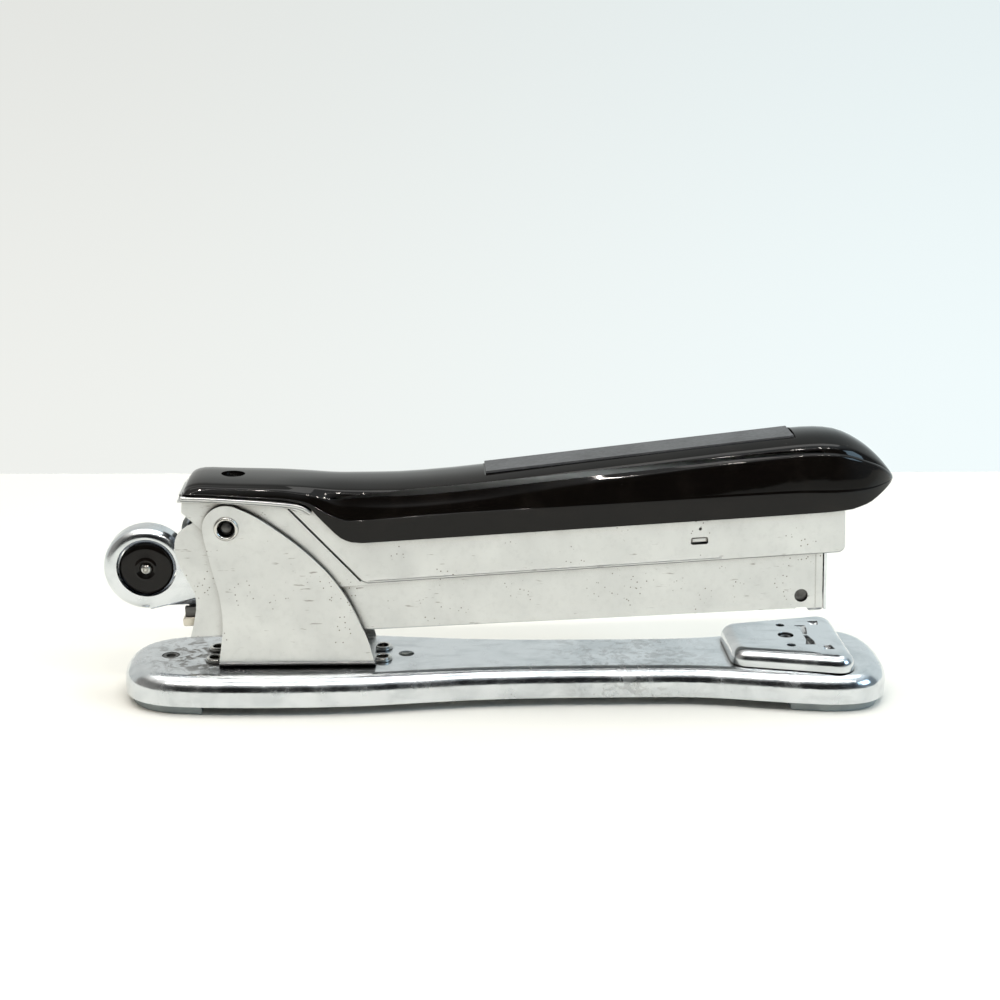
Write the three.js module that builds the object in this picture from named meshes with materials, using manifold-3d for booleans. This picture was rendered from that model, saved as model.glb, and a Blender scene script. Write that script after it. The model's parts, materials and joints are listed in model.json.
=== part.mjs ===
// Desk stapler with a rear spring drum, as an assembly of separate solids.
// Millimetres, +Z up, +X towards the nose, Y = 0 is the plane of symmetry, Z = 0 is the desk.
import * as THREE from 'three';
import { mergeVertices } from 'three/addons/utils/BufferGeometryUtils.js';
import Module from 'manifold-3d';

const wasm = await Module();
wasm.setup();

// ---------------------------------------------------------------- driving dimensions
const pivot = { x: -68.8, z: 47.7 };           // axis that the magazine and the handle turn on
const tilt = { magazine: 2.5, handle: 3.7 };   // nose-up angles at rest, degrees
const gap = 0.3;                               // play between seated pieces
const base = { bottom: 2.66, top: 10.2, wall: 1.2, round: 3.5 };
const bracket = { outer: 10.3, sheet: 1.2, bend: 1.5, floor: base.top + 0.1 };
const magazine = { outer: 7.4, sheet: 0.8, bottom: -29.7, roof: -13, front: 151.6 };
const arm = { outer: 8.7, sheet: 0.9, bottom: -16.8, roof: 3.4 };
const channel = { outer: 9.8, sheet: 0.8, bottom: -17.1, roof: 5, front: 156.6 };
const cap = { outer: 12.6, bottom: -5.4, round: 0.8 };
const springSeat = { x: -43, low: bracket.floor + bracket.sheet + gap, high: 18.7 };
const pivotTube = { outer: 2.35, bore: 1.95, lip: 2.95 };
const rivetSpots = [[-73.3, 4.05], [-73.3, -4.05], [-30.2, 4.05], [-30.2, -4.05]];
const rivet = { hole: 1.5, shank: 1.65, flange: 2.3 };
const rearScrew = { x: -85.4, head: 2.15, shank: 1.2 };
const anvil = { rear: 60.6, front: 91, top: 14.7, sheet: 1, stud: 76.5, travel: 4 };
const rail = { outer: 5.75, sheet: 0.8, top: -23.1, bottom: -28.6, rear: -5, front: 149.6 };
const drum = { x: -22, z: -11.8, radius: 10.9, half: 4.2, sheet: 0.8, rim: 1.6, window: 7.6 };
const spring = { half: 2.4, thick: 0.3, z: -22.3, end: 147 };
const blade = { front: 151.7, thick: 0.6, half: 6.3, tip: -21.9, head: 5 };

// ---------------------------------------------------------------- colours and finishes
const finishes = {
  plated: { color: 0xc9ccd0, roughness: 0.22, metalness: 1 },
  satin: { color: 0xb9bcc0, roughness: 0.35, metalness: 1 },
  darkSteel: { color: 0x4a4b4d, roughness: 0.45, metalness: 1 },
  springSteel: { color: 0x5b6068, roughness: 0.3, metalness: 1 },
  blackPlastic: { color: 0x0b0b0d, roughness: 0.12, metalness: 0 },
  greyPlate: { color: 0x3d3d3f, roughness: 0.55, metalness: 0 },
  rubber: { color: 0x5f6f70, roughness: 0.85, metalness: 0 },
};

// ---------------------------------------------------------------- geometry helpers
function solid(geometry) {
  const bare = geometry.clone();
  bare.deleteAttribute('normal');
  bare.deleteAttribute('uv');
  const merged = mergeVertices(bare, 1e-4);
  return new wasm.Manifold(new wasm.Mesh({
    numProp: 3,
    vertProperties: new Float32Array(merged.attributes.position.array),
    triVerts: new Uint32Array(merged.index.array),
  }));
}

function geometryOf(body) {
  const mesh = body.getMesh();
  const geometry = new THREE.BufferGeometry();
  geometry.setAttribute('position', new THREE.BufferAttribute(new Float32Array(mesh.vertProperties), 3));
  geometry.setIndex(new THREE.BufferAttribute(new Uint32Array(mesh.triVerts), 1));
  geometry.computeVertexNormals();
  return geometry;
}

const joined = (first, ...rest) => rest.reduce((body, next) => body.add(next), first);
const cut = (first, ...rest) => rest.reduce((body, next) => body.subtract(next), first);

function vectors(points) {
  return points.map(([x, y]) => new THREE.Vector2(x, y));
}

function outline(points) {
  return new THREE.Shape(vectors(points));
}

function curve(points, count) {
  return new THREE.SplineCurve(vectors(points)).getPoints(count).map((p) => [p.x, p.y]);
}

function arc(cx, cy, radius, from, to, count) {
  const turn = THREE.MathUtils.degToRad(to - from) / count;
  const start = THREE.MathUtils.degToRad(from);
  return Array.from({ length: count + 1 }, (_, i) => [
    cx + radius * Math.cos(start + turn * i),
    cy + radius * Math.sin(start + turn * i),
  ]);
}

function extruded(shape, depth, round = 0, segments = 3) {
  return new THREE.ExtrudeGeometry(shape, {
    depth: depth - 2 * round,
    curveSegments: 12,
    bevelEnabled: round > 0,
    bevelThickness: round,
    bevelSize: round,
    bevelOffset: -round,
    bevelSegments: segments,
  }).translate(0, 0, round);
}

// Outline drawn in X and Y, standing from z up.
function slab(shape, z, height, round = 0, segments = 3) {
  return solid(extruded(shape, height, round, segments).translate(0, 0, z));
}

// Outline drawn in X and Z, spread across Y from -half to half.
function across(shape, half, round = 0, segments = 3) {
  const geometry = extruded(shape, 2 * half, round, segments);
  return solid(geometry.rotateX(Math.PI / 2).translate(0, half, 0));
}

// Section drawn in Y and Z, run along X.
function along(shape, from, to) {
  const turned = new THREE.Matrix4().makeBasis(
    new THREE.Vector3(0, 1, 0),
    new THREE.Vector3(0, 0, 1),
    new THREE.Vector3(1, 0, 0),
  );
  return solid(extruded(shape, to - from).applyMatrix4(turned).translate(from, 0, 0));
}

function block(x, y, z) {
  const geometry = new THREE.BoxGeometry(x[1] - x[0], y[1] - y[0], z[1] - z[0]);
  return solid(geometry.translate((x[0] + x[1]) / 2, (y[0] + y[1]) / 2, (z[0] + z[1]) / 2));
}

function crossPin(x, z, radius, half, sides = 24) {
  return solid(new THREE.CylinderGeometry(radius, radius, 2 * half, sides).translate(x, 0, z));
}

function post(x, y, radius, z, sides = 24) {
  const geometry = new THREE.CylinderGeometry(radius, radius, z[1] - z[0], sides).rotateX(Math.PI / 2);
  return solid(geometry.translate(x, y, (z[0] + z[1]) / 2));
}

// Closed profile of [radius, height] turned about the Z axis, or about Y for a cross piece.
function turned(profile, sides = 24) {
  return new THREE.LatheGeometry(vectors(profile), sides);
}

function upright(profile, x, y, sides) {
  return solid(turned(profile, sides).rotateX(Math.PI / 2).translate(x, y, 0));
}

function lying(profile, x, z, sides) {
  return solid(turned(profile, sides).translate(x, 0, z));
}

// Inverted or upright channel section in Y and Z with rounded outside corners.
function channelSection(half, sheet, floor, rim, radius) {
  const up = Math.sign(rim - floor);
  const inner = Math.max(radius - sheet, 0.2);
  const corner = (side, r, offset, steps) => arc(side * (half - offset - r), 0, r, 0, 90, steps)
    .map(([y, rise]) => [side * Math.abs(y - side * (half - offset - r)) + side * (half - offset - r),
      floor + up * (offset + r - rise)]);
  return outline([
    [half, rim],
    ...corner(1, radius, 0, 4),
    ...corner(-1, radius, 0, 4).reverse(),
    [-half, rim],
    [-half + sheet, rim],
    ...corner(-1, inner, sheet, 3),
    ...corner(1, inner, sheet, 3).reverse(),
    [half - sheet, rim],
  ]);
}

// ---------------------------------------------------------------- assembly frames
const stapler = new THREE.Group();

function tiltedFrame(angle) {
  const frame = new THREE.Group();
  frame.position.set(pivot.x, 0, pivot.z);
  frame.rotation.y = -THREE.MathUtils.degToRad(angle);
  stapler.add(frame);
  return frame;
}

const magazineFrame = tiltedFrame(tilt.magazine);
const handleFrame = tiltedFrame(tilt.handle);

function piece(name, body, finish, parent = stapler) {
  const mesh = new THREE.Mesh(geometryOf(body), new THREE.MeshStandardMaterial(finishes[finish]));
  mesh.name = name;
  parent.add(mesh);
}

// ---------------------------------------------------------------- base
const baseHalfOutline = curve([
  [-96, 0], [-95, 7], [-91.5, 12.6], [-85, 16.2], [-75, 17.7], [-62, 18.2], [-46, 18.1], [-33, 17.3],
  [-20, 15.7], [-6, 14.1], [10, 13.3], [30, 13.1], [48, 13.3], [58, 14.4], [68, 16.4], [79, 18.4],
  [88, 19.2], [95, 17.4], [99.3, 12.8], [101.2, 6.4], [101.6, 0],
], 40);
const baseOutline = outline([
  ...baseHalfOutline,
  ...baseHalfOutline.slice(1, -1).reverse().map(([x, y]) => [x, -y]),
]);

function insetBase(inset, z, height, round) {
  const geometry = new THREE.ExtrudeGeometry(baseOutline, {
    depth: height - 2 * round,
    bevelEnabled: true,
    bevelThickness: round,
    bevelSize: round,
    bevelOffset: -round - inset,
    bevelSegments: 3,
  });
  return solid(geometry.translate(0, 0, z + round));
}

const slotOutline = outline([
  ...arc(anvil.stud + 0.3, 0, 1.8, -90, 90, 8),
  ...arc(anvil.stud - anvil.travel - 0.3, 0, 1.8, 90, 270, 8),
]);

function makeBase() {
  const below = 12;
  const wholeRange = [-110, 110];
  const outside = insetBase(0, base.top - below, below, base.round);
  const inside = insetBase(base.wall, base.top - base.wall - below, below, base.round - base.wall);
  const holes = rivetSpots.map(([x, y]) => post(x, y, rivet.shank + 0.1, [base.bottom, base.top + 1]));
  return cut(
    outside,
    inside,
    block(wholeRange, [-30, 30], [-20, base.bottom]),
    ...holes,
    post(-23.9, 0, 2.05, [base.bottom, base.top + 1]),
    post(rearScrew.x, 0, rearScrew.head + 0.15, [base.bottom, base.top + 1]),
    slab(slotOutline, base.bottom, 10),
  );
}

function makeFoot(from, to) {
  const rubber = insetBase(base.wall + 0.5, 0, 8, 1.2);
  return rubber.intersect(block([from, to], [-30, 30], [-1, 5]));
}

piece('base_shell', makeBase(), 'plated');
piece('rear_foot', makeFoot(-110, -75.9), 'rubber');
piece('front_foot', makeFoot(75.4, 110), 'rubber');
piece('rear_screw', upright([
  [0, 5.4], [rearScrew.shank, 5.4], [rearScrew.shank, 8.7],
  [rearScrew.head, 9.9], [rearScrew.head, base.top],
  [0.9, base.top], [0.7, base.top - 0.7], [0, base.top - 0.7],
], rearScrew.x, 0), 'darkSteel');

// ---------------------------------------------------------------- bracket, its rivets and the pivot
function makeBracket() {
  const rearEdge = curve([
    [-72, 10], [-70.8, 18.2], [-70.5, 23.7], [-71.2, 30.4], [-72.8, 37.1], [-74.4, 44.4],
  ], 12);
  const top = arc(pivot.x, pivot.z, 6, 190, 62, 12);
  const frontEdge = curve([
    [-65, 52.6], [-59.7, 49.7], [-50.4, 42.6], [-42.7, 34.7], [-37.6, 26.6], [-33.5, 16.8], [-31.6, 10],
  ], 18);
  const side = outline([...rearEdge, ...top, ...frontEdge.slice(1)]);
  const section = channelSection(bracket.outer, bracket.sheet, bracket.floor, 60, bracket.bend);
  const walls = across(side, bracket.outer + 1).intersect(along(section, -90, -20));
  const web = [bracket.floor, bracket.floor + bracket.sheet];
  const ear = rivet.flange + gap;
  const ears = rivetSpots.map(([x, y]) => {
    const root = x < springSeat.x ? [x, x + 4] : [x - 4, x];
    return joined(post(x, y, ear, web), block(root, [y - ear, y + ear], web));
  });
  const holes = rivetSpots.map(([x, y]) => post(x, y, rivet.shank + 0.1, [0, 20]));
  return cut(
    joined(walls, ...ears),
    crossPin(pivot.x, pivot.z, pivotTube.outer + 0.05, 20),
    ...holes,
  );
}

function tubularRivet(x, y) {
  const low = base.top - base.wall - 0.9;
  const high = bracket.floor + bracket.sheet + 0.05;
  const { hole, shank, flange } = rivet;
  return upright([
    [hole, low], [flange, low], [flange, low + 0.6], [shank, low + 0.8], [shank, high], [flange, high],
    [flange, high + 0.2], [hole + 0.4, high + 0.35], [hole, high + 0.2], [hole, low],
  ], x, y, 14);
}

piece('bracket', makeBracket(), 'satin');
rivetSpots.forEach(([x, y], i) => piece(`bracket_rivet_${i + 1}`, tubularRivet(x, y), 'satin'));

const lipStart = bracket.outer + 0.05;
const lipEnd = bracket.outer + 0.55;
piece('pivot_rivet', lying([
  [pivotTube.bore, -lipEnd + 0.2], [pivotTube.bore + 0.3, -lipEnd], [pivotTube.lip - 0.3, -lipEnd],
  [pivotTube.lip, -lipStart - 0.15], [pivotTube.lip, -lipStart], [pivotTube.outer, -lipStart],
  [pivotTube.outer, lipStart], [pivotTube.lip, lipStart], [pivotTube.lip, lipStart + 0.15],
  [pivotTube.lip - 0.3, lipEnd], [pivotTube.bore + 0.3, lipEnd], [pivotTube.bore, lipEnd - 0.2],
  [pivotTube.bore, -lipEnd + 0.2],
], pivot.x, pivot.z, 20), 'satin');
piece('pivot_pin', lying([
  [0, -10.2], [0.9, -10.1], [1.5, -9.7], [1.85, -9.1], [1.85, 9.1], [1.5, 9.7], [0.9, 10.1], [0, 10.2],
], pivot.x, pivot.z, 24), 'darkSteel');

// ---------------------------------------------------------------- return spring under the magazine
function helix(radius, wire, low, high, turns) {
  const steps = turns * 12;
  const points = Array.from({ length: steps + 1 }, (_, i) => {
    const angle = (i / 12) * Math.PI * 2;
    return new THREE.Vector3(
      radius * Math.cos(angle),
      radius * Math.sin(angle),
      low + wire + ((high - low - 2 * wire) * i) / steps,
    );
  });
  const section = new THREE.Shape().absarc(0, 0, wire, 0, Math.PI * 2, false);
  return new THREE.ExtrudeGeometry(section, {
    steps,
    curveSegments: 3,
    bevelEnabled: false,
    extrudePath: new THREE.CatmullRomCurve3(points),
  });
}

const returnCoil = helix(3.4, 0.45, springSeat.low, springSeat.high, 4).translate(springSeat.x, 0, 0);
piece('return_spring', solid(returnCoil), 'springSteel');

// ---------------------------------------------------------------- anvil
function anvilShape(inset, top) {
  const plan = outline([
    [anvil.rear + inset, -9 + inset], [anvil.rear + 3, -11.6 + inset], [84.5, -16.6 + inset],
    [92 + inset, -17 + inset], [92 + inset, 17 - inset], [84.5, 16.6 - inset],
    [anvil.rear + 3, 11.6 - inset], [anvil.rear + inset, 9 - inset],
  ]);
  const round = 3.2 - inset;
  const height = top - base.top + 6;
  return slab(plan, top - height, height, round, 3);
}

function groove(x, y, length, width, depth) {
  const bowl = new THREE.SphereGeometry(1, 12, 8).scale(width / 2, length / 2, depth);
  return solid(bowl.translate(x, y, anvil.top));
}

function makeAnvil() {
  const keep = block([50, anvil.front], [-30, 30], [base.top + 0.15, 30]);
  const hollow = anvilShape(anvil.sheet, anvil.top - anvil.sheet);
  const shell = cut(anvilShape(0, anvil.top), hollow).intersect(keep);
  const cutters = [1, -1].flatMap((side) => [
    groove(81.7, side * 3.7, 6.4, 2.2, 0.6),
    groove(85.9, side * 9.2, 3, 3, 0.6),
    post(anvil.stud, side * 7.5, 1.15, [8, 20], 16),
  ]);
  return cut(shell, ...cutters, post(anvil.stud, 0, 2.1, [8, 20], 20));
}

piece('anvil_plate', makeAnvil(), 'plated');
piece('anvil_stud', upright([
  [0, 6.9], [2.6, 6.9], [2.6, 7.6], [1.4, 7.6], [1.4, 11.4],
  [2.9, 11.4], [2.9, 13.1], [1.6, 13.4], [1.6, 14.3], [0, 14.3],
], anvil.stud, 0), 'darkSteel');
piece('anvil_washer', upright([
  [1.55, 7.9], [3.9, 7.9], [3.9, 8.7], [1.55, 8.7], [1.55, 7.9],
], anvil.stud, 0), 'springSteel');

// ---------------------------------------------------------------- magazine
function makeMagazine() {
  const { bottom, roof, front, outer, sheet } = magazine;
  const wing = curve([
    [-11.7, bottom], [-10.4, -25.4], [-9.5, -21], [-9.8, -17.2], [-12.1, -11.8], [-13.6, -7], [-13.3, -3],
    [-11.6, -0.7], [-8.5, 1.2], [-4.6, 3.2],
  ], 22);
  const shoulder = curve([[2.6, 3.8], [7, 1.4], [13, -5], [20, -10.6], [28, roof]], 10);
  const side = outline([
    ...wing,
    ...arc(0, 0, 4.6, 125, 60, 5),
    ...shoulder,
    [front, roof],
    [front, bottom - 0.3],
    [150.2, bottom - 0.6],
    [148.3, bottom - 0.6],
    [147.4, bottom + 0.65],
    [144.8, bottom + 0.65],
    [144.1, bottom],
  ]);
  const channelWalls = channelSection(outer, sheet, bottom - 0.6, 10, 0.9);
  const floorless = [
    block([-20, 160], [-outer + sheet, outer - sheet], [bottom + sheet, 10]),
    block([149.9, 160], [-outer + sheet, outer - sheet], [-40, 10]),
  ];
  const body = across(side, outer).intersect(along(channelWalls, -20, 160)
    .add(block([-20, 150], [-outer + sheet, outer - sheet], [bottom - 0.6, bottom + sheet])));
  return cut(
    body,
    ...floorless,
    block([-20, -9.4], [-outer + sheet, outer - sheet], [-40, 10]),
    crossPin(0, 0, pivotTube.outer + 0.1, 12, 28),
    crossPin(146.1, -25.8, 1.75, 12, 20),
  );
}

piece('magazine', makeMagazine(), 'satin', magazineFrame);
const noseSheet = [magazine.front + gap, magazine.front + gap + magazine.sheet];
const noseHeight = [magazine.bottom - 0.2, magazine.roof + 1];
piece('nose_plate', block(noseSheet, [-magazine.outer, magazine.outer], noseHeight), 'plated', magazineFrame);
piece('magazine_cover', block([30, 149], [-6.3, 6.3], [-14.2, -13.4]), 'satin', magazineFrame);

// ---------------------------------------------------------------- driver blade
piece('driver_blade', joined(
  block([blade.front - blade.thick, blade.front], [-blade.half, blade.half], [blade.tip, blade.head]),
  block([blade.front - 4, blade.front], [-3, 3], [blade.head - 0.8, blade.head]),
), 'springSteel', magazineFrame);

// ---------------------------------------------------------------- loader: drum, rail, latch, pusher
function drumOutline(shrink) {
  const r = drum.radius - shrink;
  return outline([
    ...arc(drum.x, drum.z, r, 38, 268, 24),
    [-9.5, -20.2 + shrink],
    [-3, -20 + shrink],
    [-3, rail.top + gap],
    [6.5, rail.top + gap],
    [7 - shrink, -15 - shrink],
    [-10, -13 - shrink],
    [-12.5 - shrink, -8],
  ]);
}

function makeDrumHousing() {
  const shell = across(drumOutline(0), drum.half, drum.rim, 3);
  const cavity = across(drumOutline(drum.sheet), drum.half - drum.sheet);
  const window = crossPin(drum.x, drum.z + 0.5, drum.window, 10, 32);
  const mouth = block([-12, 20], [-drum.half + drum.sheet, drum.half - drum.sheet], [-30, 0]);
  const tapeExit = block([drum.x - 3, 20], [-spring.half - gap, spring.half + gap], [-23, -21.3]);
  return cut(shell, cavity, window, mouth, tapeExit);
}

piece('drum_housing', makeDrumHousing(), 'plated', magazineFrame);

const disc = { radius: 6.9, inner: 2.75, outer: 3.6, hub: 2.4, bore: 1.35 };
piece('spool', lying([
  [disc.bore, -disc.outer + 0.3], [disc.hub, -disc.outer + 0.3], [disc.hub + 0.4, -disc.outer],
  [disc.radius - 0.7, -disc.outer], [disc.radius, -disc.outer + 0.5], [disc.radius, -disc.inner],
  [disc.hub, -disc.inner], [disc.hub, disc.inner],
  [disc.radius, disc.inner], [disc.radius, disc.outer - 0.5],
  [disc.radius - 0.7, disc.outer], [disc.hub + 0.4, disc.outer], [disc.hub, disc.outer - 0.3],
  [disc.bore, disc.outer - 0.3], [disc.bore, -disc.outer + 0.3],
], drum.x, drum.z, 24), 'blackPlastic', magazineFrame);
piece('spool_axle', lying([
  [0, -4.2], [1.2, -4.1], [1.6, -3.8], [1.6, -3.4], [1.25, -3.4],
  [1.25, 3.4], [1.6, 3.4], [1.6, 3.8], [1.2, 4.1], [0, 4.2],
], drum.x, drum.z, 20), 'satin', magazineFrame);
piece('drive_spring', joined(
  lying([[3.2, -2.4], [9.4, -2.4], [9.4, 2.4], [3.2, 2.4], [3.2, -2.4]], drum.x, drum.z, 32),
  block([drum.x - 2, spring.end], [-spring.half, spring.half], [spring.z, spring.z + spring.thick]),
  block([drum.x - 2, drum.x + 2], [-spring.half, spring.half], [spring.z, -20]),
), 'springSteel', magazineFrame);

function makeRail() {
  const section = channelSection(rail.outer, rail.sheet, rail.top, rail.bottom, 0.6);
  return cut(
    along(section, rail.rear, rail.front),
    crossPin(2.5, -26, 0.85, 12, 14),
    post(0, 0, 1, [-30, 0], 14).translate(5, 0, 0),
  );
}

piece('core_rail', makeRail(), 'satin', magazineFrame);
const pusherSection = channelSection(6.4, 0.4, -20.9, -27.9, 0.4);
piece('pusher', along(pusherSection, rail.front - 10.3, rail.front - gap), 'darkSteel', magazineFrame);
piece('latch_pin', crossPin(2.5, -26, 0.75, 5.6, 14), 'satin', magazineFrame);

function makeLatch() {
  const lever = block([-9, 4], [-3.6, 3.6], [-27, -25.2]);
  const shanks = [-3.8, 3.8].map((y) => block([-13, -8.6], [y - 0.8, y + 0.8], [-24.9, -21.6]));
  const fingerTab = block([-13.4, -8.6], [-5.6, 5.6], [-27, -24.6]);
  return cut(joined(lever, fingerTab, ...shanks), crossPin(2.5, -26, 0.8, 12, 14));
}

piece('latch', makeLatch(), 'satin', magazineFrame);
piece('latch_spring', across(outline([
  [-4.5, -24.9], [0.5, -24.45], [5.5, -24.9], [5.5, -24.6], [0.5, -24.15], [-4.5, -24.6],
]), 2.5), 'springSteel', magazineFrame);

// ---------------------------------------------------------------- handle
function makeArm() {
  const { bottom, roof, outer, sheet } = arm;
  const side = outline([
    [-10.9, 4.5], [-6.3, -0.4], [-4.6, -4.4], [0, -6], [6, -8.6], [14, bottom - 0.9], [44, bottom - 0.9],
    [46, bottom], [152, bottom], [152, roof], [24, roof],
    [20.4, 4.2], [15.3, 5.6], [-4.4, 8.3], [-10.4, 8.9],
  ]);
  const lowRoof = outline([
    [-12, 7.6], [-4.4, 7.2], [15.3, 4.5], [20.2, 3.2],
    [24, roof - sheet], [160, roof - sheet], [160, -30], [-12, -30],
  ]);
  const flange = outline([
    [-11.2, 7.7], [-4.4, 7.3], [15.3, 4.6], [20.2, 3.3],
    [20.6, 4.2], [15.3, 5.6], [-4.4, 8.3], [-10.4, 8.9],
    [-10.6, 11.2], [-11.4, 11.2], [-11.4, 7.8],
  ]);
  const tabs = block([117.4, 120.8], [-9.5, 9.5], [-11.9, -11]);
  const sheets = joined(across(side, outer), across(flange, 10.5), tabs);
  return cut(
    sheets,
    across(lowRoof, outer - sheet),
    crossPin(0, 0, pivotTube.outer + 0.1, 12, 28),
    block([-12, -10.4], [5, 12], [9, 12]),
    block([-12, -10.4], [-12, -5], [9, 12]),
    post(1.9, 0, 1.5, [0, 20], 20),
  );
}

function makeChannel() {
  const { bottom, roof, front, outer, sheet } = channel;
  const side = outline([
    [21, 2.5], [17.2, 2.5], [32.8, bottom + 0.7], [34.3, bottom], [front - 2, bottom],
    ...arc(front - 2, bottom + 2, 2, -70, 0, 4), [front, roof], [24, roof], [21.3, 4.2],
  ]);
  const inside = outline([
    [10, roof - sheet], [10, -30], [front - sheet, -30], [front - sheet, roof - sheet],
  ]);
  const window = outline([[116.9, -12.4], [121.3, -12.4], [121.3, -10.5], [116.9, -10.5]]);
  return cut(across(side, outer, 0.6, 2), across(inside, outer - sheet), across(window, 20));
}

const capTop = curve([
  [-10.2, 9.8], [-9.3, 11.7], [-7.5, 12.4], [-4.6, 12.2], [1.3, 11.6], [18.9, 10.1], [30, 9.1], [44, 8.4],
  [56, 8.5], [66, 8.9], [85.3, 10.2], [105.8, 11.5], [126.4, 12.7], [144.5, 13.6], [152.2, 13.5],
  [157.5, 12.4], [162.6, 9.5], [166.5, 6], [169.2, 2.6], [170.7, 0.2],
], 48);

function capSide() {
  return outline([
    ...capTop,
    [170.2, -1.4],
    [167, -2.9],
    [163, -4.4],
    [158, cap.bottom],
    [32.5, cap.bottom],
    [28, -3.6],
    [20.8, 4.7],
    [15.3, 6.1],
    [-4.4, 8.8],
    [-9, 9.1],
  ]);
}

function capPlan() {
  const half = curve([
    [-11, 10.9], [20, 11], [36, cap.outer], [80, cap.outer], [130, cap.outer], [152, 12.2], [161, 9.9],
    [167, 6.2], [170.9, 0],
  ], 30);
  return outline([...half, ...half.slice(0, -1).reverse().map(([x, y]) => [x, -y])]);
}

function makeCap() {
  const outside = across(capSide(), cap.outer, cap.round, 2).intersect(slab(capPlan(), -10, 40));
  const hollow = outline([
    [20.2, 3], [22, 6.2], [60, 7.1], [100, 9.2], [140, 11.2],
    [150, 11], [157.5, 8], [157.5, -20], [20.2, -20],
  ]);
  const inside = across(hollow, channel.outer + gap + 0.2);
  const tail = block([-8.6, 22.5], [-7.9, 7.9], [6, 8.8]);
  const plateBed = across(outline([[65.6, 8.3], [144.9, 12.6], [144.5, 20], [65.6, 20]]), 5.5);
  const counterbore = post(1.9, 0, 3, [9.6, 20], 24);
  return cut(outside, inside, tail, plateBed, counterbore, post(1.9, 0, 1.5, [0, 20], 20));
}

piece('handle_arm', makeArm(), 'satin', handleFrame);
piece('handle_channel', makeChannel(), 'plated', handleFrame);
piece('handle_cap', makeCap(), 'blackPlastic', handleFrame);
const plateSide = outline([[65.9, 8.6], [144.5, 12.85], [144.4, 13.5], [65.9, 9.25]]);
piece('name_plate', across(plateSide, 5.2), 'greyPlate', handleFrame);
piece('cap_screw', upright([
  [0, 6.2], [1.3, 6.2], [1.3, 9.8], [2.7, 9.8], [2.7, 10.5], [2.2, 10.9], [0.8, 10.9], [0.7, 10.3], [0, 10.3],
], 1.9, 0, 20), 'satin', handleFrame);

function makeHandleSpring() {
  const outer = [[22, 2.1], [0, 5.5], ...arc(-4.6, 0, 5.7, 95, 250, 10), [4, -8.4], [34, -13.6]];
  const inner = [[34, -13.1], [4, -7.8], ...arc(-4.6, 0, 5.1, 250, 95, 10), [0, 4.9], [22, 1.6]];
  return across(outline([...outer, ...inner]), 5.6);
}

piece('handle_spring', makeHandleSpring(), 'springSteel', handleFrame);

export default stapler;
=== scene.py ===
"""Looks for a desk stapler with a rear spring drum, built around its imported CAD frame.

Outlines are in millimetres, in the frame that each sub-part is drawn in: the desk frame, or the frame of the
magazine or the handle, which both start at the pivot and are tilted nose-up. They become metres when placed.
"""
import json
import math

import bmesh
import bpy
from mathutils import Matrix, Vector


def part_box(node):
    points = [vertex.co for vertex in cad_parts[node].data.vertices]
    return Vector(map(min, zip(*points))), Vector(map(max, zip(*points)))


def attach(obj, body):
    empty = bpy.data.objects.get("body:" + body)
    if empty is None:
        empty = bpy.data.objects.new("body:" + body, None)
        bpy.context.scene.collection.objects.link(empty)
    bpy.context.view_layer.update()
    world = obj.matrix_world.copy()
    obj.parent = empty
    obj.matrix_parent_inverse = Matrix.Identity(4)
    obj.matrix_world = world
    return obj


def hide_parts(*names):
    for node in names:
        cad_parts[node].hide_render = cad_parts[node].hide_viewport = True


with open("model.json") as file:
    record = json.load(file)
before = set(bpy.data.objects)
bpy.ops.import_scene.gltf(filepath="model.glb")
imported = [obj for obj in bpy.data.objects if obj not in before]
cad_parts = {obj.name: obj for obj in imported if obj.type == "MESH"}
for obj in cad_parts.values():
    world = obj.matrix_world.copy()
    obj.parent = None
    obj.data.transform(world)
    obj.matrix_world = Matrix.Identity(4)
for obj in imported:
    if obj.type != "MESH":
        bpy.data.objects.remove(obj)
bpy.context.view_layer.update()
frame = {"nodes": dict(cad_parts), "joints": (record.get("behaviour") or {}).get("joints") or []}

# ---------------------------------------------------------------- frames and driving sizes
MM = 0.001
PIVOT = Vector(next(j for j in frame["joints"] if j["name"] == "magazine_hinge")["pos_m"])
MAGAZINE_TILT = 2.5
HANDLE_TILT = 3.7


def tilted(angle):
    turn = Matrix.Rotation(-math.radians(angle), 4, "Y")
    return Matrix.Translation(PIVOT) @ turn @ Matrix.Scale(MM, 4)


DESK = Matrix.Scale(MM, 4)
MAGAZINE = tilted(MAGAZINE_TILT)
HANDLE = tilted(HANDLE_TILT)

PIVOT_X = PIVOT.x / MM
PIVOT_Z = PIVOT.z / MM
BASE_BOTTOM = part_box("base_shell")[0].z / MM
BASE_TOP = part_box("base_shell")[1].z / MM
RIVET_SPOTS = [(-73.3, 4.05), (-73.3, -4.05), (-30.2, 4.05), (-30.2, -4.05)]
RIVET_HOLE = 1.75
REAR_SCREW_X = -85.4
ANVIL_STUD_X = 76.5
ANVIL_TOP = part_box("anvil_plate")[1].z / MM
DRUM_X = -22
DRUM_Z = -11.8
TUBE_HOLE = 2.45


# ---------------------------------------------------------------- outlines
def spline(points, count):
    """A smooth open curve of count steps through the points."""
    knots = [points[0]] + list(points) + [points[-1]]
    curve = []
    for i in range(count + 1):
        place = i / count * (len(points) - 1)
        k = min(int(place), len(points) - 2)
        t = place - k
        p0, p1, p2, p3 = knots[k:k + 4]
        curve.append(tuple(
            0.5 * (2 * b + (c - a) * t + (2 * a - 5 * b + 4 * c - d) * t ** 2
                   + (3 * b - a - 3 * c + d) * t ** 3)
            for a, b, c, d in zip(p0, p1, p2, p3)
        ))
    return curve


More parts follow.
